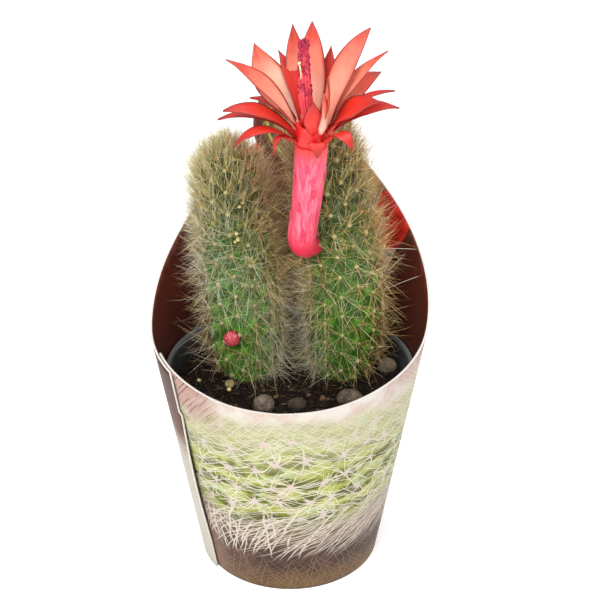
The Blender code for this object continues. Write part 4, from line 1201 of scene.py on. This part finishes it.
def stem_axis(stem, heights):
    """The middle and the radius of a stem, without its dome, at an array of heights."""
    values = spline([(knot[2], knot) for knot in stem], heights)
    return values[:, :3], values[:, 3]


def dome_share(stem, heights):
    """How far up the domed tip each height is, from 0 at the dome's foot to 1 at the top."""
    return np.clip((heights - (stem[-1][2] - stem[-1][3])) / stem[-1][3], 0.0, 1.0)


def dome_heights(stem, rows):
    """Heights of evenly turned rows up the domed tip."""
    tip, radius = stem[-1][2:]
    return [tip - radius + radius * math.sin(math.pi / 2 * index / rows) for index in range(rows)]


def stem_skin(stem, angles, heights):
    """Points on the stem's skin, and the outward direction at each."""
    middle, radius = stem_axis(stem, heights)
    above = dome_share(stem, heights)
    radius = radius * np.sqrt(np.maximum(1.0 - above**2, 0.0))
    strength = smooth_step((heights - stem[0][2] - FOOT_DEPTH) / RELIEF_RISE) * (1.0 - TIP_CALM * above)
    crest = np.cos(RIBS * angles)
    phase = TAU * (heights - stem[0][2] - FOOT_DEPTH - FOOT_POINT) / AREOLE_PITCH
    bumps = 0.5 - 0.5 * np.cos(phase) * np.cos(RIBS / 2 * angles)
    relief = RIB_RELIEF * crest + AREOLE_RELIEF * (2.0 * bumps**2 - 0.75) * np.clip(crest, 0.0, 1.0) ** 1.5
    outward = np.stack((np.sin(angles), -np.cos(angles), np.zeros_like(angles)), 1)
    return middle + outward * (radius + relief * strength)[:, None], outward


def areoles(stem):
    """Angle and height of each areole, on every other rib row by row, as in the model."""
    rows = []
    height = stem[0][2] + FOOT_DEPTH + FOOT_POINT
    while height < stem[-1][2] - stem[-1][3]:
        rows.append(height)
        height += AREOLE_PITCH / 2
    rows += dome_heights(stem, DOME_ROWS)
    ribs = enumerate(rows, start=3)
    return np.array([(TAU * rib / RIBS, height) for row, height in ribs for rib in range(row % 2, RIBS, 2)])


def make_stem(side, stem, other):
    tip, foot = stem[-1][2], stem[0][2] + FOOT_DEPTH
    straight = np.arange(stem[0][2], tip - stem[-1][3] - 0.3, STEM_ROW_STEP)
    heights = np.array([*straight, *dome_heights(stem, STEM_DOME_ROWS)])
    height, angle = grid(heights, turns(STEM_COLUMNS))
    root = stem_axis(stem, heights[:1])[0][0] - UP * FOOT_POINT
    points = np.concatenate([stem_skin(stem, angle, height)[0], [root, stem[-1][:3]]])
    spots = wrapped_map(angle, (height - foot) / (tip - foot))
    faces = ring_faces(len(heights), STEM_COLUMNS)
    skin = new_mesh(f"stem_{side}_skin", points, faces, [stem_material(side, stem)], spots)
    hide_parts(f"stem_{side}")
    make_areoles(side, stem)
    make_bristles(side, stem, other)


def stem_material(side, stem):
    """Green flesh with painted shade in the hollows between the ribs and tubercles, olive towards the tip.
    The map holds turn and height.
    """
    nodes = Nodes(f"stem_{side}", 0.5, Specular_IOR_Level=0.3)
    place = nodes.place()
    turn, share, _ = nodes.split(nodes.place("UV"))
    low, middle, high = STEM_COLOURS[side]
    flesh = nodes.ramp(share, ((0.0, low), (0.3, low), (0.55, middle), (0.85, high), (1.0, high)))
    rows = (stem[-1][2] - stem[0][2] - FOOT_DEPTH) / AREOLE_PITCH
    phase = share.line(TAU * rows, -TAU * FOOT_POINT / AREOLE_PITCH)
    bumps = phase.math("COSINE") * (turn * (math.pi * RIBS)).math("COSINE")
    cloud, fine = nodes.noise(place, 180.0, 3.0, 0.6), nodes.noise(place, 1300.0, 3.0, 0.6)
    nodes.bump(fine, 0.08, 0.6)
    return nodes.colour(
        flesh,
        # Painted shade in the hollows between the tubercles, none on the tubercles at the areoles.
        (bumps.step(-0.7, 0.3) * 0.65, (22, 34, 6)),
        (cloud.step(0.42, 0.72) * 0.7, (34, 62, 12)),
        (fine.step(0.55, 0.75) * 0.35, (140, 176, 92)),
    )


def areole_frames(stem):
    """Root, outward, upward and sideways directions, height share and angle of each areole."""
    angles, heights = areoles(stem).T
    skin, outward = stem_skin(stem, angles, heights)
    normal = unit(outward + UP * (1.4 * dome_share(stem, heights) ** 2)[:, None])
    sideways = unit(np.cross(UP, outward))
    foot = stem[0][2] + FOOT_DEPTH
    share = (heights - foot) / (stem[-1][2] - foot)
    return skin, normal, np.cross(normal, sideways), sideways, share, angles


def make_areoles(side, stem):
    """Woolly cushions that the bristles grow from."""
    rng = np.random.default_rng(AREOLE_SEEDS[side])
    skin, normal, upward, sideways, share, _ = areole_frames(stem)
    dot, dot_faces = ball(2)
    parts = []
    for index in range(len(skin)):
        size = rng.uniform(0.62, 0.88) * (0.9 + 0.2 * share[index])
        spread = lump(dot, size, 0.0, (0.22, 0.5, 0.61 * index))
        points = skin[index] + normal[index] * AREOLE_PROUD
        for axis, direction in enumerate((sideways, upward, normal)):
            points = points + spread[:, axis : axis + 1] * direction[index]
        parts.append((points, dot_faces))
    points, faces = join(parts)
    groups = np.repeat(rng.choice(3, len(skin), p=(0.64, 0.28, 0.08)), len(dot_faces))
    wool = {"rough": 0.7, "bump": (0.15, 0.8), "Specular_IOR_Level": 0.15}
    materials = [
        grainy(f"areole_{name}", 0.9, 2600.0, shaded(tint, 0.75), tint, **wool) for name, tint in AREOLE_TINTS
    ]
    new_mesh(f"stem_{side}_areoles", points, faces, materials, groups=groups)


# Bristles


def bristle_material(name, root, tip):
    """Coloured from root to tip by the map's second axis, a little unlike its neighbours by the first."""
    nodes = Nodes(name, 0.5, Specular_IOR_Level=0.4)
    bright, along, _ = nodes.split(nodes.place("UV"))
    dull = (bright.step(0.8, 0.1) * 0.85, shaded(root, 0.5))
    return nodes.colour(root, (along, tip), dull, (bright.step(0.75, 1.0), shaded(tip, 1.03)))


def bristle_sets(rng, side, stem):
    """Roots, directions, lengths, radii and bends of a stem's bristles, with their stem's share and turn.

    An areole has a flat star of radials, some longer centrals, and a fur of finer hairs that thickens
    towards the tip and on the flanks, with a veil of the finest hairs over them.
    """
    skin, normal, upward, sideways, share, angles = areole_frames(stem)
    outer = np.sin(angles) * OUTWARDS[side]
    flank = smooth_step((0.65 - np.cos(angles)) / 0.8)
    top = smooth_step((share - 0.42) / 0.4)
    inner = smooth_step((-outer - 0.1) / 0.6)
    gold = smooth_step((outer - 0.3) / 0.5) * (side == "right")
    pale = smooth_step((outer - 0.3) / 0.5) * (side == "left") * smooth_step((share - 0.5) / 0.2)
    high = smooth_step((share - 0.38) / 0.2)
    middle = np.exp(-(((share - 0.48) / 0.17) ** 2))
    fur_top, fur_middle = FUR[side]
    fur = 2 + fur_top * top + fur_middle * middle + 5 * flank * (0.2 + 0.8 * top)
    fur = fur + (20 + 12 * (1.0 - top)) * inner + 18 * gold * high + 60 * pale
    veil_top, veil_middle = VEIL[side]
    veil = veil_top * top * (0.45 + 0.55 * flank) + veil_middle * middle * (0.25 + 0.75 * flank) + 8 * inner
    # Counts, tilts, lengths, radii, share turned upwards, lift, growth at the foot, share of long ones and
    # spread of the radials, the centrals, the fur and the veil
    kinds = (
        (np.full(len(skin), 12), (1.1, 1.48), (4.6, 8.4), (0.066, 0.084), 0.35, 0.3, 0.0, 0.0, 0.25),
        (9 + 3 * top, (0.35, 1.25), (7.0, 13.5), (0.056, 0.074), 0.5, 1.0, 0.3, 0.1, 0.8),
        (fur, (0.5, 1.4), (5.6, 10.0), (0.05, 0.066), 0.8, 1.0, 0.2, 0.04, 1.6),
        (veil, (0.5, 1.5), (5.0, 9.4), (0.034, 0.044), 0.7, 1.0, 0.2, 0.04, 1.9),
    )
    rows = []
    for counts, tilts, lengths, radii, turned, raised, growth, long_share, spread in kinds:
        of = np.repeat(np.arange(len(skin)), np.round(counts).astype(int))
        count = len(of)
        spin = rng.uniform(-math.pi, math.pi, count)
        upwards = rng.random(count) < turned * top[of]
        spin = np.where(upwards, rng.normal(0.0, 0.6, count), spin)
        tilt = rng.uniform(*tilts, count)
        aside = upward[of] * np.cos(spin)[:, None] + sideways[of] * np.sin(spin)[:, None]
        direction = normal[of] * np.cos(tilt)[:, None] + aside * np.sin(tilt)[:, None]
        lift = -0.28 + 0.9 * share[of] ** 1.3 + rng.normal(0.0, 0.15, count)
        direction = unit(direction + UP * (lift * raised)[:, None])
        forward = inner[of] * (np.cos(angles[of]) > -0.3) * (1.0 - 0.6 * top[of])
        direction = unit(direction + REAR * -0.55 * forward[:, None])
        length = rng.uniform(*lengths, count)
        length *= 1.0 - 0.3 * smooth_step((share[of] - 0.75) / 0.25)
        length *= 1.0 + growth * smooth_step((0.25 - share[of]) / 0.2)
        stretched = rng.random(count) < long_share
        length = np.where(stretched, length * rng.uniform(1.2, 1.6, count), length)
        scatter = rng.normal(0.0, spread, (count, 2))
        root = skin[of] + sideways[of] * scatter[:, :1] + upward[of] * scatter[:, 1:]
        root = root + normal[of] * (0.25 - 0.4 * spread)
        bend = rng.normal(0.0, 0.14, (count, 3)) * length[:, None]
        bend[:, 2] -= (0.1 - 0.2 * share[of]) * length
        rows.append((root, direction, length, rng.uniform(*radii, count), bend, share[of], angles[of]))
    return [np.concatenate(columns) for columns in zip(*rows)]


def bristle_tints(rng, side, share, angles):
    """Which of the bristle colours each one has, by how far up and on which side of the stem it grows."""
    outer = np.sin(angles) * OUTWARDS[side]
    out, in_ = smooth_step((outer - 0.25) / 0.5), smooth_step((-outer - 0.25) / 0.5)
    weights = np.zeros((len(share), len(BRISTLE_TINTS)))
    for zone, amount in (("front", 1.0 - out - in_), ("outer", out), ("inner", in_)):
        for tint, heights in enumerate(np.array(BRISTLE_SHARES[side][zone], float).T):
            weights[:, tint] += amount * np.interp(share, SHARE_HEIGHTS, heights)
    edges = np.cumsum(weights, axis=1) / weights.sum(axis=1, keepdims=True)
    return (rng.random(len(share))[:, None] > edges[:, :-1]).sum(axis=1)


def keep_clear(other, root, direction, length, bend):
    """Shortens each bristle that would pass into something, and tells which are clear in the end."""
    balls = tube_balls() + tepal_balls() + [(BUD_CENTRE, BUD_RADIUS + 0.2)]
    scale = np.ones(len(root))
    for _ in range(SHORTENINGS):
        bad = np.zeros(len(root), bool)
        for share in TRIED_SHARES:
            reach = share * scale
            point = root + direction * (length * reach)[:, None] + bend * (scale * share**2)[:, None]
            bad |= blocked(point, other, balls)
        scale = np.where(bad, scale * SHORTENING, scale)
    return scale, ~bad


def blocked(point, other, balls):
    """Whether each point lies in or near the other stem, the soil, the pot's lip, the sleeve or a ball."""
    x, y, z = point.T
    reach = np.hypot(x, y)
    middle, radius = stem_axis(other, np.clip(z, other[0][2], other[-1][2]))
    radius = radius * np.sqrt(np.maximum(1.0 - dome_share(other, z) ** 2, 0.0))
    bad = np.linalg.norm(point[:, :2] - middle[:, :2], axis=1) < radius + STEM_MARGIN
    bad &= z < other[-1][2]
    bad |= z < soil_level(x, y) + SOIL_MARGIN
    above, aside = LIP_MARGINS
    bad |= (z < POT_HEIGHT + above) & (reach > POT_LIP_RADIUS - POT_LIP_WIDTH - aside)
    inside, above, round_header = CARD_MARGINS
    card = z < card_rim_height(np.degrees(np.arctan2(x, -y))) + above
    card |= (y > 0.0) & (np.hypot(x, z - HEADER_CENTRE_HEIGHT) < HEADER_RADIUS + round_header)
    bad |= card & (reach > card_radius(z) - CARD_THICKNESS - inside)
    bad |= np.abs(x) > WIDEST
    for centre, size in balls:
        bad |= ((point - centre) ** 2).sum(1) < (size + BALL_MARGIN) ** 2
    return bad


def make_bristles(side, stem, other):
    """The coat of fine bristles, as pieces from the foot, the middle and the top of the stem."""
    rng = np.random.default_rng(BRISTLE_SEEDS[side])
    root, direction, length, radius, bend, share, angles = bristle_sets(rng, side, stem)
    scale, clear = keep_clear(other, root, direction, length, bend)
    length, bend = length * scale, bend * scale[:, None]
    tint = bristle_tints(rng, side, share, angles)
    materials = [bristle_material(f"bristle_{name}", *colours) for name, *colours in BRISTLE_TINTS]
    clear &= length > SHORTEST_BRISTLE
    for number, (low, high) in enumerate(zip(BRISTLE_CUTS, BRISTLE_CUTS[1:]), start=1):
        chosen = clear & (share >= low) & (share < high)
        count = int(chosen.sum())
        bright = rng.random(count)
        thickness = radius[chosen] * (0.8 + 0.34 * bright**2)
        shapes = (root[chosen], direction[chosen], length[chosen], thickness, bend[chosen])
        points, faces, along = tubes(*shapes, BRISTLE_STATIONS, BRISTLE_TAPER)
        uv = np.stack(grid(bright, along), 1)
        groups = np.repeat(tint[chosen], len(faces) // count)
        new_mesh(f"stem_{side}_bristles_{number}", points, faces, materials, uv, groups)


def make_whiskers():
    """Two long pale spines that stand out of the right stem's flank."""
    ends = np.array(WHISKERS)
    root, reach = ends[:, 0], ends[:, 1] - ends[:, 0]
    length = np.linalg.norm(reach, axis=1)
    bend = -WHISKER_SAG * length[:, None] * UP
    radii = np.full(len(length), WHISKER_RADIUS)
    points, faces, along = tubes(root, unit(reach), length, radii, bend, 6, taper=0.5)
    uv = np.stack(grid(np.full(len(length), 0.9), along), 1)
    material = bristle_material("whisker", *BRISTLE_TINTS[0][1:])
    new_mesh("stem_right_whiskers", points, faces, [material], uv)


# Flower


def tube_knots():
    points = np.array([knot[:3] for knot in TUBE_PATH])
    steps = np.concatenate([[0.0], np.cumsum(np.linalg.norm(np.diff(points, axis=0), axis=1))])
    return list(zip(steps, TUBE_PATH))


def tube_frame(lengths):
    """Middle, radius and two sideways axes at lengths along the flower tube."""
    knots = tube_knots()
    value = spline(knots, lengths)
    ahead = spline(knots, np.minimum(lengths + 0.5, knots[-1][0]))
    behind = spline(knots, np.maximum(lengths - 0.5, 0.0))
    along = unit((ahead - behind)[:, :3])
    side = unit(ACROSS - along * along[:, :1])
    return value[:, :3], value[:, 3], side, np.cross(along, side)


def tube_surface(lengths, angles, rise):
    middle, radius, side, back = tube_frame(lengths)
    outward = side * np.cos(angles)[:, None] + back * np.sin(angles)[:, None]
    return middle + outward * (radius + rise)[:, None]


def tube_balls():
    """Balls that fill the flower tube."""
    middle, radius, _, _ = tube_frame(np.linspace(0.0, tube_knots()[-1][0], 24))
    return list(zip(middle, radius + 0.4))


def make_tube():
    end = tube_knots()[-1][0]
    lengths = np.linspace(0.0, end, int(end / 0.5))
    length, angle = grid(lengths, turns(TUBE_SIDES))
    ridges = 0.09 * np.cos(9 * angle + 0.05 * length) + 0.05 * np.cos(23 * angle)
    tips = lengths[[0, -1]]
    poles = tube_surface(tips, np.zeros(2), -tube_frame(tips)[1])
    points = np.concatenate([tube_surface(length, angle, ridges), poles])
    faces, spots = ring_faces(len(lengths), TUBE_SIDES), wrapped_map(angle, length / end)
    tube = new_mesh("flower_tube_skin", points, faces, [tube_material()], spots)
    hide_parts("flower_tube")
    span = end - TUBE_BARE_FOOT - TUBE_BARE_MOUTH
    starts = [TUBE_BARE_FOOT + span * index / (TUBE_SCALES - 1) for index in range(TUBE_SCALES)]
    points, faces = join([tube_scale(start, index * GOLDEN_ANGLE) for index, start in enumerate(starts)])
    pinks = ((190, 24, 62), (226, 70, 104))
    material = grainy("tube_scales", 0.45, (900.0, 900.0, 90.0), *pinks, bump=(0.06, 0.5))
    new_mesh("flower_tube_scales", points, faces, [material])


def tube_scale(length, angle):
    """A small pointed scale that lies against the tube with its tip upwards."""
    rows, columns = 10, 9
    share, across = grid(np.linspace(0.0, 1.0, rows), np.linspace(-1.0, 1.0, columns))
    half = TUBE_SCALE_WIDTH / 2 * np.sin(math.pi * np.clip(0.25 + 0.75 * share, 0, 1)) ** 0.8
    turn = angle + across * half / tube_frame(np.array([length]))[1][0]
    rise = 0.12 + 0.38 * np.sin(math.pi * share * 0.6) * (1.0 - 0.7 * across**2)
    place = length + TUBE_SCALE_LENGTH * share
    top = tube_surface(place, turn, rise)
    low = tube_surface(place, turn, rise - 0.35 * (1.0 - 0.8 * across**2) - 0.12)
    row, column = grid(np.arange(rows - 1), np.arange(columns - 1))
    here = row * columns + column
    beyond = here + columns
    faces = np.stack((here, here + 1, beyond + 1, here, beyond + 1, beyond), 1).reshape(-1, 3)
    return np.concatenate([top, low]), np.concatenate([faces, faces[:, ::-1] + rows * columns])


def tube_material():
    """Streaky pink, redder at the mouth and at the foot."""
    nodes = Nodes("flower_tube", 0.42, Subsurface_Weight=0.15, Subsurface_Scale=0.004)
    place, share = nodes.place(), nodes.split(nodes.place("UV"))[1]
    streaks = nodes.noise(place, (1300.0, 1300.0, 50.0), 3.0, 0.6)
    cloud = nodes.noise(place, (260.0, 260.0, 60.0))
    nodes.bump(streaks, 0.12, 0.5)
    return nodes.colour(
        (208, 46, 80),
        (streaks.step(0.34, 0.7), (234, 116, 138)),
        (cloud.step(0.45, 0.7) * 0.6, (232, 62, 96)),
        (share.step(0.86, 1.0), (232, 44, 40)),
        (share.step(0.34, 0.2), (218, 46, 74)),
    )


def tepal_spine(root_height, arch, azimuth, rise, length):
    """The middle line of a tepal as a function of an array of shares of its length."""
    angle, climb = math.radians(azimuth), math.radians(rise)
    outward = np.array((math.sin(angle), -math.cos(angle), 0.0))
    throat = MOUTH + MOUTH_AXIS * THROAT_HEIGHT
    tip = throat + (outward * math.cos(climb) + UP * math.sin(climb)) * length
    across = unit(outward - MOUTH_AXIS * outward.dot(MOUTH_AXIS))
    root = MOUTH + MOUTH_AXIS * root_height + across * TEPAL_ROOT_RADIUS
    lifted = UP * math.cos(climb) - outward * math.sin(climb)
    middle = (root + tip) / 2 + lifted * arch * 2.0

    def spine(share):
        share = np.asarray(share, float)[..., None]
        return root * (1 - share) ** 2 + middle * 2 * share * (1 - share) + tip * share**2

    return spine, outward


def tepal_balls():
    """Balls along the tepals."""
    balls = []
    for root_height, arch, tepals in WHORLS:
        for azimuth, rise, length, width, _, _ in tepals:
            spine, _ = tepal_spine(root_height, arch, azimuth, rise, length)
            balls += [(point, width * 0.42) for point in spine(np.linspace(0.0, 1.0, 9))]
    return balls


def tepal_width(share):
    swell = np.sin(math.pi * np.minimum(share / 1.16, 1.0)) ** 0.9
    return TEPAL_WIDENED * (TEPAL_FOOT_WIDTH + (1.0 - TEPAL_FOOT_WIDTH) * swell) * (1.0 - share**5)


def tepal(root_height, arch, azimuth, rise, length, width, roll, rng):
    """One blade as points, triangles and a map of across and along."""
    spine, outward = tepal_spine(root_height, arch, azimuth, rise, length)
    level_side = np.cross(UP, outward)
    full_turn = math.radians(math.copysign(roll, azimuth))
    across = np.linspace(-1.0, 1.0, TEPAL_ACROSS)
    wave = rng.uniform(0.0, 6.0, 3)
    tilt = rng.uniform(-0.25, 0.25)
    rings, spots = [], []
    for share in np.linspace(0.0, 0.995, TEPAL_STATIONS):
        along = unit(spine(share + 0.02) - spine(share - 0.02))
        turn = full_turn * min(1.0, TEPAL_TWIST * share)
        side = level_side * math.cos(turn) + unit(np.cross(along, level_side)) * math.sin(turn)
        face = unit(np.cross(along, side))
        half = width * tepal_width(share) / 2
        trough = width * TEPAL_CAMBER * (1.0 - share)
        crease = 0.1 * width * np.exp(-((across / 0.16) ** 2)) * (1.0 - share) * 0.5
        sink = -trough * (1.0 - across**2) - crease
        ripple = 0.035 * width * np.sin(7.0 * share + wave[0]) * across * np.abs(across)
        ripple = ripple + tilt * share**2 * across * half * 0.3
        fine = 0.012 * width * np.sin(across * 14.0 + wave[1])
        uneven = 1.0 + 0.05 * np.sin(9.0 * share + wave[2])
        middle = spine(share) + side * (across * half * uneven)[:, None]
        middle = middle + face * (sink + ripple + fine)[:, None]
        thick = face * (TEPAL_THICKNESS / 2 * np.sqrt(np.maximum(1.0 - across**2, 0.0)) + 0.04)[:, None]
        rings += [middle + thick, (middle - thick)[::-1]]
        spot = np.stack((0.5 + across / 2, np.full(TEPAL_ACROSS, share)), 1)
        spots += [spot, spot[::-1]]
    points = np.concatenate([*rings, spine(np.array([0.0, 1.0]))])
    uv = np.concatenate([*spots, [(0.5, 0.0), (0.5, 1.0)]])
    return points, ring_faces(TEPAL_STATIONS, 2 * TEPAL_ACROSS), uv


def make_tepals():
    rng = np.random.default_rng(SEED + 31)
    parts, maps, groups = [], [], []
    for root_height, arch, tepals in WHORLS:
        for *shape, cream in tepals:
            points, faces, uv = tepal(root_height, arch, *shape, rng)
            parts.append((points, faces))
            maps.append(uv)
            colour = [cream > least for least, *_ in TEPAL_COLOURS].index(True)
            groups.append(np.full(len(faces), colour))
    points, faces = join(parts)
    materials = [tepal_material(f"tepal_{name}", *colours) for _, name, *colours in TEPAL_COLOURS]
    uv, groups = np.concatenate(maps), np.concatenate(groups)
    blades = new_mesh("tepal_blades", points, faces, materials, uv, groups)
    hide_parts("flower_tepals")
    make_throat()


def mouth_frame():
    """Two directions across the flower's mouth."""
    side = unit(np.cross(MOUTH_AXIS, REAR))
    return side, np.cross(MOUTH_AXIS, side)


def make_throat():
    """The short ring at the tube's mouth that the tepals stand on."""
    side, back = mouth_frame()
    angles = turns(THROAT_SIDES)
    lobes = 1.0 + 0.03 * np.cos(7 * angles)
    outward = side * (np.cos(angles) * lobes)[:, None] + back * (np.sin(angles) * lobes)[:, None]
    points = [MOUTH + MOUTH_AXIS * height + outward * radius for radius, height in THROAT]
    turn = np.arange(THROAT_SIDES)
    ahead, last = (turn + 1) % THROAT_SIDES, turn + (len(THROAT) - 1) * THROAT_SIDES
    beside = last - turn + ahead
    faces = ring_faces(len(THROAT), THROAT_SIDES, False, False)
    faces = np.concatenate([faces, np.stack((last, beside, ahead), 1), np.stack((last, ahead, turn), 1)])
    material = grainy("throat", 0.45, (700.0, 700.0, 120.0), (196, 18, 22), (226, 40, 38), bump=(0.08, 0.5))
    new_mesh("flower_throat", np.concatenate(points), faces, [material])


def tepal_material(name, foot, middle, tip):
    """Pale at its foot and redder outwards, with a darker edge and point, and fine veins."""
    nodes = Nodes(name, 0.38, Subsurface_Weight=0.12, Subsurface_Scale=0.003, Specular_IOR_Level=0.45)
    uv = nodes.place("UV")
    across, along, _ = nodes.split(uv)
    shifted = (nodes.noise(nodes.place(), 160.0, 3.0) - 0.5).line(0.35, along)
    edge = abs(across - 0.5)
    veins = nodes.noise(uv, (26.0, 1.6, 1.0), 3.0, 0.6)
    nodes.bump(veins, 0.12, 0.6)
    return nodes.colour(
        nodes.ramp(shifted, ((0.25, foot), (0.6, middle), (0.86, tip), (1.0, shaded(tip, 0.7)))),
        (edge.step(0.3, 0.48) * 0.75, tip),
        (edge.step(0.43, 0.465) * 0.9, (108, 26, 18)),
        (veins.step(0.5, 0.75) * 0.4, middle),
    )


def stamen_path(shares):
    """Points at shares along the stamens' middle line."""
    return spline(list(zip(np.linspace(0.0, 1.0, len(STAMEN_PATH)), STAMEN_PATH)), shares)


def make_stamens():
    """A leaning bundle of filaments, each with its anther."""
    rng = np.random.default_rng(SEED + 41)
    throat = MOUTH + MOUTH_AXIS * 3.0
    side, back = mouth_frame()
    threads, grains = [], []
    grain, grain_faces = ball(2)
    for index in range(STAMEN_COUNT):
        angle = index * GOLDEN_ANGLE
        end = 0.6 + 0.38 * rng.random() ** 0.9
        shares = np.linspace(STAMEN_START, end, 10)
        out = side * math.cos(angle) + back * math.sin(angle)
        spread = 0.5 + 2.3 * rng.random() ** 0.5 * (1.2 - 0.75 * end)
        along = np.clip((shares - STAMEN_START) / (end - STAMEN_START), 0, 1)
        tightness = np.sin(np.pi * along * 0.5 + 0.4)
        path = stamen_path(shares) + out * (spread * tightness)[:, None]
        path = np.concatenate([[throat + out * 2.2], path])
        threads.append(bent_tube(path, np.full(len(path), FILAMENT_RADIUS), 5))
        stretch = ANTHER_SIZE * rng.uniform(0.85, 1.3)
        grains.append((grain * stretch + path[-1] + rng.normal(0.0, 0.12, 3), grain_faces))
    points, faces = join(threads + grains)
    groups = np.arange(len(faces)) >= sum(len(thread_faces) for _, thread_faces in threads)
    materials = [
        grainy("filaments", 0.4, 700.0, (214, 34, 62), (240, 96, 104), 2.0),
        grainy("anthers", 0.7, 2200.0, (118, 8, 38), (196, 34, 76), bump=(0.1, 0.8), limits=(0.4, 0.65)),
    ]
    stamens = new_mesh("stamen_bundle", points, faces, materials, groups=groups)
    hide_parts("flower_stamens")
    make_style(rng)


def make_style(rng):
    """The style with its pale stigma lobes."""
    top = stamen_path([0.84])[0] + np.array((-1.3, -2.0, 0.0))
    path = np.concatenate([stamen_path(np.linspace(0.74, 0.8, 3)) + (-0.9, -1.4, 0.0), [top]])
    parts = [bent_tube(path, np.full(len(path), STYLE_RADIUS), 8)]
    for angle in turns(STIGMA_LOBES):
        out = np.array((math.cos(angle), math.sin(angle), 0.0)) * 0.4
        lobe = np.array([top, top + out * 0.7 + UP * 0.4, top + out + UP * rng.uniform(0.7, 1.0)])
        parts.append(bent_tube(lobe, (0.22, 0.2, 0.1), 6))
    points, faces = join(parts)
    material = grainy("stigma", 0.6, 1500.0, (226, 186, 130), (246, 222, 176), 2.0)
    new_mesh("flower_stigma", points, faces, [material])


# Bud


def make_bud():
    """A small ball of overlapping scales that meet at its front."""
    rows, columns = BUD_GRID
    polar, angle = grid(math.pi * np.arange(1, rows) / rows, turns(columns))
    ring = polar / math.pi * BUD_RINGS
    phase = ring % 1.0
    shift = math.pi / BUD_TEETH * (np.floor(ring) % 2)
    tooth = np.abs(np.cos(BUD_TEETH / 2 * (angle + shift)))
    scale = smooth_step((phase - 0.15 - 0.5 * (1.0 - tooth)) / 0.12)
    across = np.sin(polar)
    pole = BUD_RADIUS - 0.16
    reach = pole + 0.22 * scale * across + 0.08 * phase * across
    direction = np.stack((np.cos(angle) * across, -np.cos(polar), np.sin(angle) * across), 1)
    points = np.concatenate([direction * reach[:, None], [-REAR * pole, REAR * pole]]) + BUD_CENTRE
    spots = wrapped_map(angle, polar / math.pi)
    faces = ring_faces(rows - 1, columns)[:, ::-1]
    bud = new_mesh("bud_scales", points, faces, [bud_material()], spots)
    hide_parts("bud")


def bud_material():
    """Deep red with fine pale streaks that run out from the point at the front."""
    nodes = Nodes("bud", 0.45)
    uv = nodes.place("UV")
    streaks = nodes.noise(uv, (70.0, 5.0, 1.0), 1.0)
    outside = nodes.split(uv)[1].step(0.36, 0.62)
    nodes.bump(streaks, 0.1, 0.5)
    return nodes.colour((178, 16, 42), (streaks.step(0.52, 0.62), (236, 136, 152)), (outside, (150, 14, 30)))


# Small things caught in the bristles and on the soil


def make_grains():
    """Pale grains of grit on the left stem and on the soil near it."""
    rng = np.random.default_rng(SEED + 51)
    grain, grain_faces = ball(4)
    parts = []
    for x, y, z, size in GRAINS:
        if z is None:
            z = soil_height(np.array([x]), np.array([y]))[0] + 0.3 * size
        half = size * rng.uniform(0.75, 1.1, 3)
        parts.append((lump(grain, half, (x, y, z), (0.2, 0.8, x), (0.06, 0.25, y)), grain_faces))
    points, faces = join(parts)
    wear_and_sheen = {"rough": 0.7, "bump": (0.1, 0.8), "Specular_IOR_Level": 0.3}
    material = grainy("grit", 0.85, 1600.0, (196, 176, 112), (242, 228, 172), **wear_and_sheen)
    new_mesh("grit", points, faces, [material])


# Floor, lights and camera


def make_studio():
    bpy.ops.mesh.primitive_plane_add(size=FLOOR_SIZE, location=(0.0, 0.0, FLOOR_HEIGHT))
    floor = bpy.context.object
    floor.name = "floor"
    glow = {"Specular_IOR_Level": 0.1, "Emission_Color": WHITE, "Emission_Strength": 0.3}
    floor.data.materials.append(grainy("floor", 0.9, 3.0, (246, 246, 246), (250, 250, 250), 2.0, **glow))

    scene = bpy.context.scene
    scene.world = bpy.data.worlds.new("studio")
    scene.world.use_nodes = True
    background = scene.world.node_tree.nodes["Background"]
    background.inputs[0].default_value = WHITE
    background.inputs[1].default_value = BACKGROUND_STRENGTH
    for light in LIGHTS:
        add_light(*light)
    scene.view_settings.view_transform = "Standard"
    scene.view_settings.look = "None"
    scene.view_settings.exposure = 0.0

    camera = bpy.data.objects.new("camera", bpy.data.cameras.new("camera"))
    scene.collection.objects.link(camera)
    camera.location = CAMERA_PLACE
    camera.rotation_euler = [math.radians(turn) for turn in CAMERA_TURN]
    camera.data.sensor_width = CAMERA_SENSOR
    camera.data.lens = CAMERA_LENS
    camera.data.clip_start = CAMERA_NEAR
    scene.camera = camera


def add_light(name, place, size, power):
    light = bpy.data.lights.new(name, "AREA")
    light.shape = "DISK"
    light.size = size
    light.energy = power
    obj = bpy.data.objects.new(name, light)
    bpy.context.scene.collection.objects.link(obj)
    obj.location = place
    obj.rotation_euler = (Vector(LIT_POINT) - Vector(place)).to_track_quat("-Z", "Y").to_euler()


def main():
    for obj in list(bpy.data.objects):
        bpy.data.objects.remove(obj, do_unlink=True)
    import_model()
    make_studio()
    make_sleeve()
    make_pot()
    make_soil()
    make_stones()
    make_stem("left", STEM_LEFT, STEM_RIGHT)
    make_stem("right", STEM_RIGHT, STEM_LEFT)
    make_whiskers()
    make_tube()
    make_tepals()
    make_stamens()
    make_bud()
    make_grains()


main()
